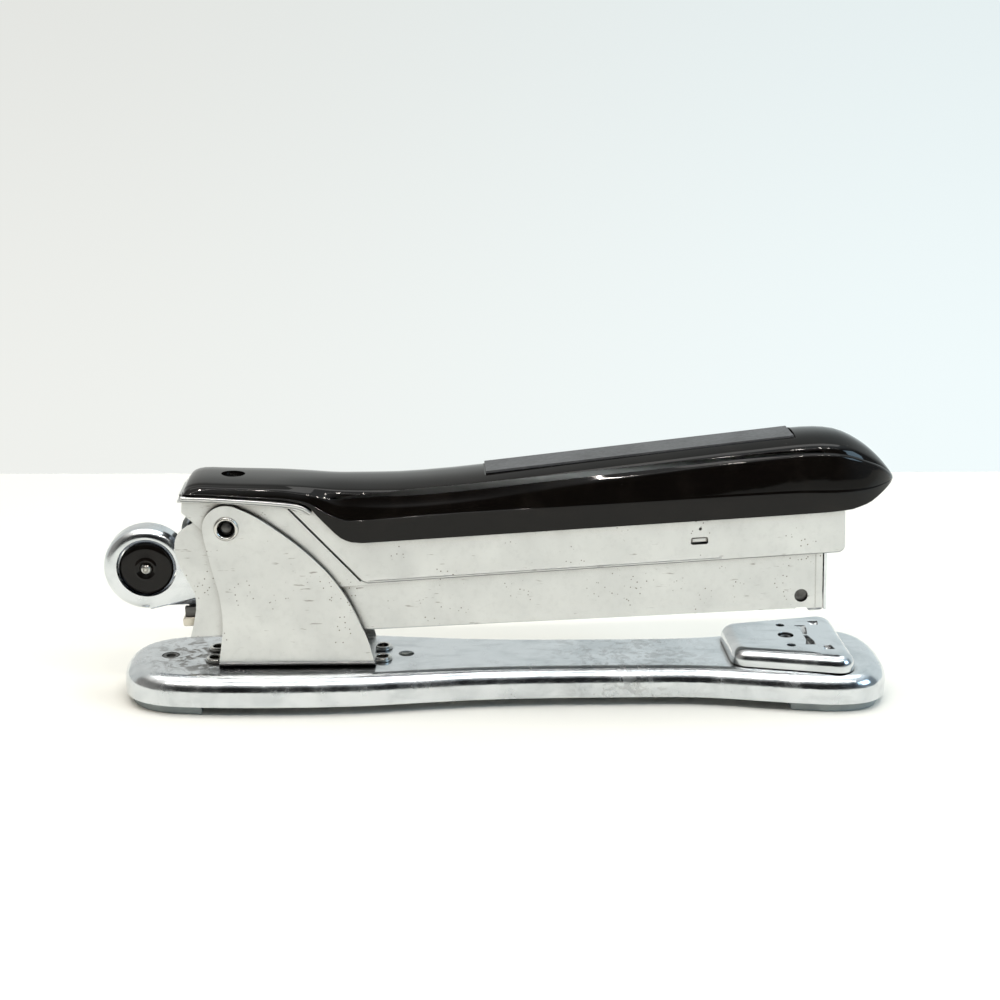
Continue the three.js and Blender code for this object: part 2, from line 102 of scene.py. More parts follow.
def arc(cx, cy, radius, start, end, count):
    turns = [math.radians(start + (end - start) * i / count) for i in range(count + 1)]
    return [(cx + radius * math.cos(t), cy + radius * math.sin(t)) for t in turns]


def filleted(points, radius, count=6):
    """The closed outline with each corner rounded by an arc of up to that radius."""
    result = []
    for i, corner in enumerate(points):
        here = Vector(corner)
        back = Vector(points[i - 1]) - here
        ahead = Vector(points[(i + 1) % len(points)]) - here
        half = back.angle(ahead) / 2
        if half > math.radians(88):
            result.append(tuple(here))
            continue
        reach = min(radius / math.tan(half), back.length * 0.48, ahead.length * 0.48)
        bisector = (back.normalized() + ahead.normalized()).normalized()
        middle = here + bisector * reach / math.cos(half)
        start = here + back.normalized() * reach - middle
        end = here + ahead.normalized() * reach - middle
        for k in range(count + 1):
            result.append(tuple(middle + start.slerp(end, k / count) * start.length))
    return result


def turning(points):
    """Twice the signed area of a closed outline: positive when it runs counter-clockwise."""
    return sum(a[0] * b[1] - b[0] * a[1] for a, b in zip(points, points[1:] + points[:1]))


def inset(points, amount):
    """The closed outline moved inwards by that amount."""
    side = 1 if turning(points) > 0 else -1
    moved = []
    for i, here in enumerate(points):
        a = Vector(here) - Vector(points[i - 1])
        b = Vector(points[(i + 1) % len(points)]) - Vector(here)
        a = a.normalized() if a.length > 1e-9 else b.normalized()
        b = b.normalized() if b.length > 1e-9 else a
        normal = Vector((-a.y - b.y, a.x + b.x)) * side
        normal.normalize()
        lean = max(0.4, math.cos(a.angle(b, 0) / 2))
        moved.append((here[0] + normal.x * amount / lean, here[1] + normal.y * amount / lean))
    return moved


def lookup(table, x):
    """A value read off a table of (position, value) rows along a smooth curve that never overshoots them."""
    if x <= table[0][0]:
        return table[0][1]
    if x >= table[-1][0]:
        return table[-1][1]
    k = next(i for i in range(len(table) - 1) if x <= table[i + 1][0])
    (x0, v0), (x1, v1) = table[k], table[k + 1]
    width = x1 - x0
    t = (x - x0) / width
    m0, m1 = knot_slope(table, k) * width, knot_slope(table, k + 1) * width
    return ((2 * t ** 3 - 3 * t ** 2 + 1) * v0 + (t ** 3 - 2 * t ** 2 + t) * m0
            + (3 * t ** 2 - 2 * t ** 3) * v1 + (t ** 3 - t ** 2) * m1)


def knot_slope(table, k):
    """The slope of the smooth curve at a row: none at a turning point, the ends' own at the ends."""
    rises = [(b[1] - a[1]) / (b[0] - a[0]) for a, b in zip(table, table[1:])]
    if k in (0, len(rises)):
        return rises[min(k, len(rises) - 1)]
    before, after = rises[k - 1], rises[k]
    return 2 * before * after / (before + after) if before * after > 0 else 0.0


# ---------------------------------------------------------------- solids
AXES = {
    "X": lambda a, b, d: (d, a, b),
    "Y": lambda a, b, d: (a, d, b),
    "Z": lambda a, b, d: (a, b, d),
}


def shape(name, points, faces):
    mesh = bpy.data.meshes.new(name)
    mesh.from_pydata(points, [], faces)
    piece = bpy.data.objects.new(name, mesh)
    bpy.context.scene.collection.objects.link(piece)
    tidy_faces(piece)
    return piece


def tidy_faces(piece):
    """Merges doubled points and makes every face point out."""
    work = bmesh.new()
    work.from_mesh(piece.data)
    bmesh.ops.remove_doubles(work, verts=work.verts, dist=1e-4)
    bmesh.ops.dissolve_degenerate(work, edges=work.edges, dist=1e-4)
    bmesh.ops.recalc_face_normals(work, faces=work.faces)
    work.to_mesh(piece.data)
    work.free()


def loft(name, loops, closed=False):
    """A skin over closed loops of equal count; a face closes each end unless they form a ring."""
    count = len(loops[0])
    points = [p for loop in loops for p in loop]
    pairs = [(k, k + 1) for k in range(len(loops) - 1)]
    if closed:
        pairs.append((len(loops) - 1, 0))
    faces = [
        (a * count + i, a * count + (i + 1) % count, b * count + (i + 1) % count, b * count + i)
        for a, b in pairs for i in range(count)
    ]
    if not closed:
        faces.append(tuple(range(count)))
        faces.append(tuple(range((len(loops) - 1) * count, len(loops) * count)))
    return shape(name, points, faces)


def prism(name, points, low, high, axis="Y"):
    """An outline run straight along an axis."""
    put = AXES[axis]
    return loft(name, [[put(a, b, d) for a, b in points] for d in (low, high)])


def rim_rows(radius, steps):
    """Rows of (depth below a rim, amount drawn in) round a quarter circle; a sharp rim is one row."""
    turns = [math.pi / 2 * k / steps for k in range(steps + 1)] if radius else [math.pi / 2]
    return [(radius * (1 - math.cos(t)), radius * (1 - math.sin(t))) for t in turns]


def pillow(name, points, low, high, round_low, round_high, axis="Y", steps=8):
    """An outline run along an axis with its two rims rounded over."""
    put = AXES[axis]
    rows = [(low + depth, drawn) for depth, drawn in rim_rows(round_low, steps)]
    rows += [(high - depth, drawn) for depth, drawn in reversed(rim_rows(round_high, steps))]
    return loft(name, [[put(a, b, level) for a, b in inset(points, drawn)] for level, drawn in rows])


def block(name, x, y, z):
    corners = [(x[0], y[0]), (x[1], y[0]), (x[1], y[1]), (x[0], y[1])]
    return prism(name, corners, z[0], z[1], "Z")


def disc(name, a, b, radius, low, high, axis="Y", sides=64):
    return prism(name, arc(a, b, radius, 0, 360 - 360 / sides, sides - 1), low, high, axis)


def turned(name, profile, a, b, axis="Y", sides=72):
    """A profile of (radius, height) turned about an axis; an end on the axis closes to a point."""
    put = AXES[axis]
    ring = [math.tau * i / sides for i in range(sides)]
    loops = [[put(a + r * math.cos(t), b + r * math.sin(t), h) for t in ring] for r, h in profile]
    on_axis = profile[0][0] == 0
    return loft(name, loops, closed=not on_axis)


def mirrored(profile):
    """A profile run on into its mirror image below height 0."""
    return profile + [(r, -h) for r, h in reversed(profile)]


def swept(name, centre_line, section):
    """A closed section carried along a line of points."""
    loops = []
    for i, here in enumerate(centre_line):
        before = Vector(centre_line[max(i - 1, 0)])
        after = Vector(centre_line[min(i + 1, len(centre_line) - 1)])
        ahead = (after - before).normalized()
        side = ahead.cross(Vector((0, 0, 1)))
        side = side.normalized() if side.length > 1e-6 else Vector((1, 0, 0))
        up = side.cross(ahead)
        loops.append([tuple(Vector(here) + side * u + up * v) for u, v in section])
    return loft(name, loops)


def applied(piece):
    """Makes the piece's modifiers part of its mesh."""
    graph = bpy.context.evaluated_depsgraph_get()
    mesh = bpy.data.meshes.new_from_object(piece.evaluated_get(graph))
    piece.modifiers.clear()
    piece.data = mesh
    return piece


def combine(piece, tools, operation):
    for tool in tools:
        step = piece.modifiers.new("combine", "BOOLEAN")
        step.operation = operation
        step.solver = "EXACT"
        step.object = tool
        bpy.context.view_layer.update()
        applied(piece)
        bpy.data.objects.remove(tool)
    tidy_faces(piece)
    return piece


def cut(piece, *tools):
    return combine(piece, tools, "DIFFERENCE")


def joined(piece, *tools):
    return combine(piece, tools, "UNION")


def shared(piece, *tools):
    return combine(piece, tools, "INTERSECT")


def softened(piece, width, segments=2, angle=32):
    """Rounds the sharp edges by width."""
    step = piece.modifiers.new("edges", "BEVEL")
    step.width = width
    step.segments = segments
    step.limit_method = "ANGLE"
    step.angle_limit = math.radians(angle)
    step.miter_outer = "MITER_ARC"
    return applied(piece)


def smooth(piece, sharp=38):
    for face in piece.data.polygons:
        face.use_smooth = True
    piece.data.set_sharp_from_angle(angle=math.radians(sharp))
    step = piece.modifiers.new("normals", "WEIGHTED_NORMAL")
    step.keep_sharp = True
    return applied(piece)


def mount(piece, place, body, slot_name, *nodes, look=None, sharp=38):
    """Places a finished piece and says what it rides on, takes its finish from and stands for."""
    piece.data.transform(place)
    smooth(piece, sharp)
    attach(piece, body)
    if nodes:
        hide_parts(*nodes)
    piece.data.materials.clear()
    piece.data.materials.append(LOOKS[look or slot_name])
    return piece


# ---------------------------------------------------------------- materials
class Look:
    """A node material built up from patterns in the object's own space, in metres."""

    def __init__(self, name, **sockets):
        self.material = bpy.data.materials.new(name)
        self.material.use_nodes = True
        self.tree = self.material.node_tree
        self.shader = self.tree.nodes["Principled BSDF"]
        for socket, value in sockets.items():
            self.shader.inputs[socket.replace("_", " ")].default_value = value
        self.place = self.tree.nodes.new("ShaderNodeTexCoord").outputs["Object"]

    def link(self, source, target):
        self.tree.links.new(source, target)

    def stretched(self, x=1.0, y=1.0, z=1.0, turn=0.0):
        mapping = self.tree.nodes.new("ShaderNodeMapping")
        mapping.inputs["Scale"].default_value = (x, y, z)
        mapping.inputs["Rotation"].default_value = (0, turn, 0)
        self.link(self.place, mapping.inputs["Vector"])
        return mapping.outputs["Vector"]

    def noise(self, size, detail=4.0, rough=0.55, place=None, distortion=0.0):
        """Cloudy noise with features of about that size in metres."""
        node = self.tree.nodes.new("ShaderNodeTexNoise")
        node.inputs["Scale"].default_value = 1 / size
        node.inputs["Detail"].default_value = detail
        node.inputs["Roughness"].default_value = rough
        node.inputs["Distortion"].default_value = distortion
        self.link(place or self.place, node.inputs["Vector"])
        return node.outputs["Fac"]

    def cells(self, size, place=None):
        node = self.tree.nodes.new("ShaderNodeTexVoronoi")
        node.inputs["Scale"].default_value = 1 / size
        self.link(place or self.place, node.inputs["Vector"])
        return node.outputs["Distance"]

    def span(self, source, low, high, out_low=0.0, out_high=1.0):
        node = self.tree.nodes.new("ShaderNodeMapRange")
        node.interpolation_type = "SMOOTHSTEP"
        node.inputs["From Min"].default_value = low
        node.inputs["From Max"].default_value = high
        node.inputs["To Min"].default_value = out_low
        node.inputs["To Max"].default_value = out_high
        self.link(source, node.inputs["Value"])
        return node.outputs["Result"]

    def maths(self, operation, a, b):
        node = self.tree.nodes.new("ShaderNodeMath")
        node.operation = operation
        for socket, value in zip(node.inputs, (a, b)):
            if isinstance(value, (int, float)):
                socket.default_value = value
            else:
                self.link(value, socket)
        return node.outputs["Value"]

    def mix(self, factor, a, b):
        node = self.tree.nodes.new("ShaderNodeMix")
        node.data_type = "RGBA"
        self.link(factor, node.inputs["Factor"])
        for socket, value in ((node.inputs[6], a), (node.inputs[7], b)):
            if isinstance(value, tuple):
                socket.default_value = (*value, 1)
            else:
                self.link(value, socket)
        return node.outputs[2]

    def near(self, x, y, reach):
        """1 over a place on the desk, falling to 0 at reach."""
        node = self.tree.nodes.new("ShaderNodeVectorMath")
        node.operation = "DISTANCE"
        self.link(self.stretched(1, 1, 0), node.inputs[0])
        node.inputs[1].default_value = (x, y, 0)
        return self.span(node.outputs["Value"], reach, reach * 0.25)

    def crevice_shade(self, reach):
        """1 deep in a corner or a gap of about that width, 0 in the open: the mask for painted shade in
        corners and gaps.
        """
        node = self.tree.nodes.new("ShaderNodeAmbientOcclusion")
        node.samples = 6
        node.inputs["Distance"].default_value = reach
        return self.span(node.outputs["AO"], 0.86, 0.35)

    def underside_shade(self):
        """1 on faces turned well down, 0 elsewhere: the mask for painted shade on down-turned faces."""
        node = self.tree.nodes.new("ShaderNodeSeparateXYZ")
        self.link(self.place.node.outputs["Normal"], node.inputs["Vector"])
        return self.span(node.outputs["Z"], -0.15, -0.5)

    def finish(self, colour=None, roughness=None, height=None, depth=0.0):
        if colour is not None:
            self.link(colour, self.shader.inputs["Base Color"])
        if roughness is not None:
            self.link(roughness, self.shader.inputs["Roughness"])
        if height is not None:
            node = self.tree.nodes.new("ShaderNodeBump")
            node.inputs["Distance"].default_value = depth
            node.inputs["Strength"].default_value = 1
            self.link(height, node.inputs["Height"])
            self.link(node.outputs["Normal"], self.shader.inputs["Normal"])
        return self.material


# Dark brown mixed in for real pits, scuffs and grimy blotches, and also as painted shade in corners and
# gaps.
GRIME_AND_SHADE = (0.10, 0.075, 0.055)


def satin_steel(name, pale, dull, rough=(0.30, 0.41)):
    """Rolled plated sheet gone satin with handling: faint clouding, small pits and short scratches, with
    painted shade in corners, in narrow gaps and on faces turned down.
    """
    look = Look(name, Metallic=1.0)
    cloud = look.span(look.noise(0.016, 3), 0.15, 0.85)
    mottled = look.span(look.noise(0.0018, 5, 0.65), 0.45, 0.72)
    pits = look.maths("MULTIPLY", look.span(look.cells(0.0011), 0.2, 0.09),
                      look.span(look.noise(0.009, 3), 0.54, 0.62))
    lengthwise = look.stretched(0.14, 1, 1, 0.5)
    scuffs = look.maths("MULTIPLY", look.span(look.noise(0.0007, 2, place=lengthwise), 0.66, 0.72),
                        look.span(look.noise(0.011, 2), 0.48, 0.6))
    marks = look.maths("MAXIMUM", pits, look.maths("MULTIPLY", scuffs, 0.55))
    colour = look.mix(cloud, pale, dull)
    colour = look.mix(look.maths("MULTIPLY", mottled, 0.16), colour, tuple(c * 0.7 for c in dull))
    # Painted shade: the colour darkens towards dark brown in corners and narrow gaps, on top of the real
    # pits and scuffs.
    marks_and_shade = look.maths("MAXIMUM", marks, look.maths("MULTIPLY", look.crevice_shade(0.004), 0.7))
    colour = look.mix(marks_and_shade, colour, GRIME_AND_SHADE)
    # Painted shade: faces turned down are darkened towards grey.
    colour = look.mix(look.maths("MULTIPLY", look.underside_shade(), 0.8), colour, (0.2, 0.2, 0.2))
    roughness = look.span(look.noise(0.006, 5), 0.25, 0.8, *rough)
    grain = look.maths("SUBTRACT", look.noise(0.0012, 3), look.maths("MULTIPLY", marks, 0.3))
    return look.finish(colour, roughness, grain, 0.00001)


def bright_plating(name, ripple_depth, grimy):
    """Bright plating over pressed sheet: softly rippled, clouded in places, grimy in blotches where asked,
    and with painted shade in corners and narrow gaps.
    """
    look = Look(name, Metallic=1.0)
    cloud = look.span(look.noise(0.014, 5, distortion=0.6), 0.42, 0.7)
    streaks = look.span(look.noise(0.0035, 4, place=look.stretched(0.3, 1, 1)), 0.5, 0.75)
    specks = look.maths("MULTIPLY", look.span(look.cells(0.0016), 0.1, 0.03),
                        look.span(look.noise(0.02, 2), 0.48, 0.58))
    colour = look.mix(cloud, (0.70, 0.725, 0.745), (0.56, 0.59, 0.61))
    colour = look.mix(look.maths("MULTIPLY", streaks, 0.35), colour, (0.38, 0.40, 0.42))
    rough = look.span(look.noise(0.005, 5), 0.35, 0.75, 0.14, 0.30)
    marks = specks
    if grimy:
        spots = look.maths("MAXIMUM", look.near(RIVET_SPOTS[0][0] * MM - 0.003, 0, 0.02),
                           look.maths("MULTIPLY", look.near(0.035, -0.001, 0.03), 0.35))
        blotches = look.span(look.noise(0.0035, 6, 0.65, distortion=1.2), 0.46, 0.6)
        grime = look.maths("MULTIPLY", spots, blotches)
        marks = look.maths("MAXIMUM", look.maths("MULTIPLY", grime, 0.75), specks)
        rough = look.maths("ADD", rough, look.maths("MULTIPLY", grime, 0.25))
    # Painted shade: the colour darkens towards dark brown in corners and narrow gaps, on top of the real
    # specks and grime.
    marks_and_shade = look.maths("MAXIMUM", marks, look.maths("MULTIPLY", look.crevice_shade(0.0022), 0.8))
    colour = look.mix(marks_and_shade, colour, GRIME_AND_SHADE)
    ripple = look.maths("ADD", look.noise(0.0042, 3), look.maths("MULTIPLY", look.noise(0.0009, 3), 0.4))
    return look.finish(colour, rough, ripple, ripple_depth)


def bare_steel(name, tint, rough, streak=0.12):
    """Plain steel with fine drawn streaks and a little tarnish."""
    look = Look(name, Metallic=1.0)
    streaks = look.noise(0.0009, 3, place=look.stretched(streak, 1, 1))
    tarnish = look.span(look.noise(0.003, 4), 0.45, 0.7)
    colour = look.mix(tarnish, tint, tuple(c * 0.5 for c in tint))
    roughness = look.span(streaks, 0.3, 0.7, rough - 0.08, rough + 0.12)
    return look.finish(colour, roughness, streaks, 0.00001)


def glossy_black(name):
    """Polished black moulding with a soft swell in the surface, rubbed patches and tiny specks of dust."""
    look = Look(name, Metallic=0.0, IOR=1.5, Specular_IOR_Level=0.24)
    specks = look.maths("MULTIPLY", look.span(look.cells(0.0021), 0.06, 0.025),
                        look.span(look.noise(0.013, 2), 0.54, 0.62))
    rubbed = look.span(look.noise(0.01, 5, distortion=0.5), 0.45, 0.75)
    colour = look.mix(rubbed, (0.0034, 0.0027, 0.0023), (0.0072, 0.0056, 0.0046))
    colour = look.mix(specks, colour, (0.10, 0.095, 0.09))
    hairlines = look.span(look.noise(0.0008, 2, place=look.stretched(0.12, 1, 1)), 0.62, 0.8)
    rough = look.maths("ADD", look.span(rubbed, 0, 1, 0.045, 0.09), look.maths("MULTIPLY", hairlines, 0.08))
    swell = look.maths("ADD", look.noise(0.012, 2), look.maths("MULTIPLY", specks, 0.2))
    return look.finish(colour, rough, swell, 0.00004)


def matte_grey():
    """Matt grey enamel of the inlaid plate, with a fine grain."""
    look = Look("matte_grey", Metallic=0.15)
    cloud = look.span(look.noise(0.009, 4), 0.35, 0.7)
    colour = look.mix(cloud, (0.075, 0.076, 0.080), (0.050, 0.050, 0.053))
    grain = look.noise(0.0005, 3, place=look.stretched(0.4, 1, 1))
    return look.finish(colour, look.span(grain, 0.3, 0.7, 0.34, 0.48), grain, 0.000012)


def grey_rubber():
    """Grey-green rubber, dusty and slightly mottled."""
    look = Look("grey_rubber", Metallic=0.0)
    dust = look.span(look.noise(0.005, 5), 0.4, 0.7)
    colour = look.mix(dust, (0.25, 0.285, 0.29), (0.35, 0.385, 0.385))
    grain = look.noise(0.0004, 3)
    return look.finish(colour, look.span(dust, 0, 1, 0.6, 0.82), grain, 0.00002)


LOOKS = {
    "base_plating": bright_plating("base_plating", 0.00006, True),
    "part_plating": bright_plating("part_plating", 0.00002, False),
    "satin_plating": satin_steel("satin_plating", (0.70, 0.71, 0.70), (0.60, 0.61, 0.605)),
    "rivet_steel": satin_steel("rivet_steel", (0.74, 0.73, 0.70), (0.5, 0.49, 0.46), (0.18, 0.34)),
    "latch_steel": satin_steel("latch_steel", (0.78, 0.74, 0.63), (0.62, 0.58, 0.5), (0.3, 0.45)),
    "dark_steel": bare_steel("dark_steel", (0.12, 0.118, 0.115), 0.34),
    "spring_steel": bare_steel("spring_steel", (0.26, 0.29, 0.34), 0.24),
    "cap_plastic": glossy_black("cap_plastic"),
    "spool_plastic": glossy_black("spool_plastic"),
    "name_plate_grey": matte_grey(),
    "foot_rubber": grey_rubber(),
}


# ---------------------------------------------------------------- base
BASE_HALF = spline([
    (-97, 0), (-96, 7.1), (-92.3, 12.8), (-85.5, 16.3), (-75, 17.7), (-62, 18.2), (-46, 18.1),
    (-33, 17.3), (-20, 15.7), (-6, 14.1), (10, 13.3), (30, 13.1), (48, 13.3), (58, 14.4), (68, 16.4),
    (79, 18.4), (88, 19.2), (95.5, 17.5), (100, 12.9), (101.9, 6.5), (102.3, 0),
], 120)
BASE_OUTLINE = BASE_HALF + [(x, -y) for x, y in reversed(BASE_HALF[1:-1])]
BASE_WALL = 1.2
BASE_ROUND = 4.3
TAPPED_HOLE_X = -23.9
TAPPED_HOLE = 2.05
REAR_SCREW_HOLE = 2.3
SLOT_RADIUS = 1.8
SLOT_ENDS = (-4.3, 0.3)
FOOT_INSET = 0.5
FOOT_TOP = 4.9


def make_base():
    bottom = BASE_BOTTOM + 0.02
    outside = pillow("base", BASE_OUTLINE, bottom, BASE_TOP, 0, BASE_ROUND, "Z", 12)
    hollow = pillow("base_hollow", inset(BASE_OUTLINE, BASE_WALL), bottom - 2, BASE_TOP - BASE_WALL, 0,
                    BASE_ROUND - BASE_WALL, "Z", 5)
    rear, front = (ANVIL_STUD_X + end for end in SLOT_ENDS)
    slot = arc(front, 0, SLOT_RADIUS, -90, 90, 16) + arc(rear, 0, SLOT_RADIUS, 90, 270, 16)
    holes = [disc("hole", x, y, RIVET_HOLE, 0, 20, "Z", 40) for x, y in RIVET_SPOTS]
    holes.append(disc("hole", TAPPED_HOLE_X, 0, TAPPED_HOLE, 0, 20, "Z", 48))
    holes.append(disc("hole", REAR_SCREW_X, 0, REAR_SCREW_HOLE, 0, 20, "Z", 48))
    holes.append(prism("slot", slot, 0, 20, "Z"))
    cut(outside, hollow, *holes)
    return softened(outside, 0.22, 2, 40)


def make_foot(name, low, high):
    bottom = inset(BASE_OUTLINE, BASE_WALL + FOOT_INSET)
    pad = pillow(name, bottom, 0, 8.6, 0.5, 0.6, "Z", 4)
    shared(pad, block("end", (low, high), (-30, 30), (-1, FOOT_TOP)))
    return softened(pad, 0.3, 3)


def make_rear_screw():
    return turned("rear_screw_head", [
        (0, 5.4), (1.2, 5.4), (1.2, 8.7), (2.1, 9.7), (2.15, 10.0), (2.0, 10.15), (1.5, 10.2),
        (1.25, 10.1), (1.05, 9.6), (0, 9.5),
    ], REAR_SCREW_X, 0, "Z", 48)


# ---------------------------------------------------------------- bracket and its fastenings
BRACKET_OUTER = 10.3
BRACKET_SHEET = 1.2
EAR_SHEET = 0.55
BRACKET_FLOOR = 10.3
BRACKET_BEND = 2.1
BEND_STEPS = 8
EAR_RADIUS = 2.6


def u_section(half, sheet, floor, rim, radius):
    """A channel in Y and Z with rounded bends; floor is its flat web, rim its open side."""
    up = 1 if rim > floor else -1
    inner = max(radius - sheet, 0.2)

    def bend(side, r, offset):
        return [
            (side * (half - offset - r + r * math.cos(t)), floor + up * (offset + r - r * math.sin(t)))
            for t in (math.pi / 2 * k / BEND_STEPS for k in range(BEND_STEPS + 1))
        ]
    outer_line = [(half, rim)] + bend(1, radius, 0) + bend(-1, radius, 0)[::-1] + [(-half, rim)]
    inner_line = [
        (-half + sheet, rim), *bend(-1, inner, sheet), *bend(1, inner, sheet)[::-1], (half - sheet, rim),
    ]
    return outer_line + inner_line


def make_bracket():
    rear = spline([(-72, 10), (-70.8, 18.2), (-70.5, 23.7), (-71.2, 30.4), (-72.8, 37.1), (-74.4, 44.4)], 40)
    top = arc(PIVOT_X, PIVOT_Z, 6, 190, 62, 36)
    front = spline([
        (-65, 52.6), (-59.7, 49.7), (-50.4, 42.6), (-42.7, 34.7), (-37.6, 26.6), (-33.5, 16.8),
        (-31.6, 10),
    ], 60)
    section = u_section(BRACKET_OUTER, BRACKET_SHEET, BRACKET_FLOOR, 60, BRACKET_BEND)
    walls = prism("bracket_sheet", rear + top + front[1:], -12, 12)
    shared(walls, prism("section", section, -90, -20, "X"))
    web = (BRACKET_FLOOR, BRACKET_FLOOR + EAR_SHEET)
    for x, y in RIVET_SPOTS:
        reach = 4 if x < -50 else -4
        joined(walls, disc("ear", x, y, EAR_RADIUS, *web, "Z", 48),
               block("ear_root", sorted((x, x + reach)), (y - EAR_RADIUS, y + EAR_RADIUS), web))
    holes = [disc("hole", x, y, RIVET_HOLE, 0, 20, "Z", 40) for x, y in RIVET_SPOTS]
    cut(walls, disc("pivot_hole", PIVOT_X, PIVOT_Z, TUBE_HOLE - 0.05, -20, 20), *holes)
    return softened(walls, 0.2, 3)


def make_eyelet(name, x, y):
    """A tubular rivet with its top rolled over into a ring."""
    low = BASE_TOP - BASE_WALL - 0.9
    high = BRACKET_FLOOR + EAR_SHEET + 0.05
    turns = [math.pi * k / 12 for k in range(13)]
    ring = [(1.9 + 0.4 * math.cos(t), high + 0.32 * math.sin(t)) for t in turns]
    profile = [(1.5, low), (2.3, low), (2.3, low + 0.5), (1.65, low + 0.8), (1.65, high)] + ring
    return turned(name, profile, x, y, "Z", 48)


def make_pivot_rivet():
    """The hollow pivot, its ends rolled out into rings over the bracket walls."""
    end = BRACKET_OUTER + 0.05
    turns = [math.pi * k / 14 for k in range(15)]
    lip = [(2.62 + 0.48 * math.cos(t), end + 0.5 * math.sin(t)) for t in turns]
    half = [(2.35, end - 0.02)] + lip + [(2.02, end - 0.5)]
    return turned("pivot_tube", mirrored(half), PIVOT_X, PIVOT_Z, "Y", 72)


def make_pivot_pin():
    dome = [(1.7 * math.cos(t), 9.1 + 1.1 * math.sin(t)) for t in (math.pi / 2 * k / 10 for k in range(10))]
    half = [(0, 10.2)] + dome[::-1]
    return turned("pivot_pin_core", mirrored(half), PIVOT_X, PIVOT_Z, "Y", 56)


def ring_section(radius, sides):
    turns = [math.tau * i / sides for i in range(sides)]
    return [(radius * math.cos(t), radius * math.sin(t)) for t in turns]


def make_return_spring():
    """An open coil on the web of the bracket, with its end turns closed up."""
    turns, steps, wire, radius = 5.5, 30, 0.45, 3.4
    centre_x, low, high = -43, 12.3, 17.0
    count = int(turns * steps)
    line = []
    for i in range(count + 1):
        t = i / count
        rise = lookup([(0, 0), (0.16, 0.09), (0.84, 0.91), (1, 1)], t)
        angle = math.tau * turns * t
        height = low + (high - low) * rise
        line.append((centre_x + radius * math.cos(angle), radius * math.sin(angle), height))
    return swept("return_coil", line, ring_section(wire, 12))


# ---------------------------------------------------------------- anvil
ANVIL_FRONT = 92
ANVIL_ROUND = 3.2
ANVIL_SHEET = 1.6
STUD_HOLE = 2.1
PILOT_HOLE = 1.15
PILOT_Y = 7.5
POCKET_X = 81.7
DIMPLE_X = 85.9
POCKET_DEPTH = 1.4
# The hollows' cross sections, in half widths and depths, closed above the plate's face.
POCKET_SECTION = [
    (-1, 0), (-0.8, -0.6), (-0.4, -0.93), (0, -1), (0.4, -0.93), (0.8, -0.6), (1, 0), (1, 1), (-1, 1),
]
DIMPLE_SECTION = [(-1, 0), (-0.85, -0.7), (-0.3, -1), (0.3, -1), (0.85, -0.7), (1, 0), (1, 1), (-1, 1)]


def make_anvil():
    plan = filleted([(60.6, -10.9), (ANVIL_FRONT, -18), (ANVIL_FRONT, 18), (60.6, 10.9)], 4.4, 10)
    skirt = BASE_TOP + 0.15
    shell = pillow("anvil", plan, skirt, ANVIL_TOP, 0, ANVIL_ROUND, "Z", 12)
    hollow = pillow("anvil_hollow", inset(plan, ANVIL_SHEET), skirt - 4, ANVIL_TOP - ANVIL_SHEET, 0,
                    ANVIL_ROUND - ANVIL_SHEET, "Z", 6)
    cut(shell, hollow)
    tools = [disc("stud_hole", ANVIL_STUD_X, 0, STUD_HOLE, 5, 20, "Z", 48)]
    for side in (1, -1):
        tools.append(disc("pilot", ANVIL_STUD_X, side * PILOT_Y, PILOT_HOLE, 5, 20, "Z", 36))
        tools.append(make_pocket(side))
        tools.append(make_dimple(side))
    cut(shell, *tools)
    return softened(shell, 0.16, 3)


def make_pocket(side):
    """Half of the curved bow-tie that turns a staple leg inwards, wide at its end."""
    rows = []
    for k in range(9):
        t = k / 8
        y = 0.35 + 6.9 * t
        half = 0.55 + 0.95 * t ** 1.3
        bow = 0.35 * math.sin(math.pi * t)
        depth = POCKET_DEPTH * math.sin(math.pi * (0.16 + 0.78 * t))
        rows.append([
            (POCKET_X + bow + u * half, side * y, ANVIL_TOP + v * depth) for u, v in POCKET_SECTION
        ])
    return loft("pocket", rows)


def make_dimple(side):
    """One of the two pads that turns a staple leg outwards."""
    rows = []
    for k in range(7):
        t = k / 6
        half = 1.0 + 0.45 * t
        depth = POCKET_DEPTH * math.sin(math.pi * (0.18 + 0.7 * t))
        y = side * (7.7 + 3.0 * t)
        rows.append([(DIMPLE_X + u * half, y, ANVIL_TOP + v * depth) for u, v in DIMPLE_SECTION])
    return loft("dimple", rows)


def make_anvil_stud():
    return turned("anvil_stud_head", [
        (0, 6.9), (2.45, 6.9), (2.6, 7.05), (2.6, 7.6), (1.4, 7.6), (1.4, 11.4), (2.9, 11.4),
        (2.9, ANVIL_TOP - ANVIL_SHEET - 0.4), (1.7, ANVIL_TOP - ANVIL_SHEET - 0.1), (1.6, 14.1),
        (1.4, 14.3), (0.7, 14.3), (0.55, 13.9), (0, 13.9),
    ], ANVIL_STUD_X, 0, "Z", 48)


# ---------------------------------------------------------------- magazine
MAG_OUTER = 7.4
MAG_SHEET = 0.8
MAG_BOTTOM = -29.7
MAG_ROOF = -13
MAG_FRONT = 151.6


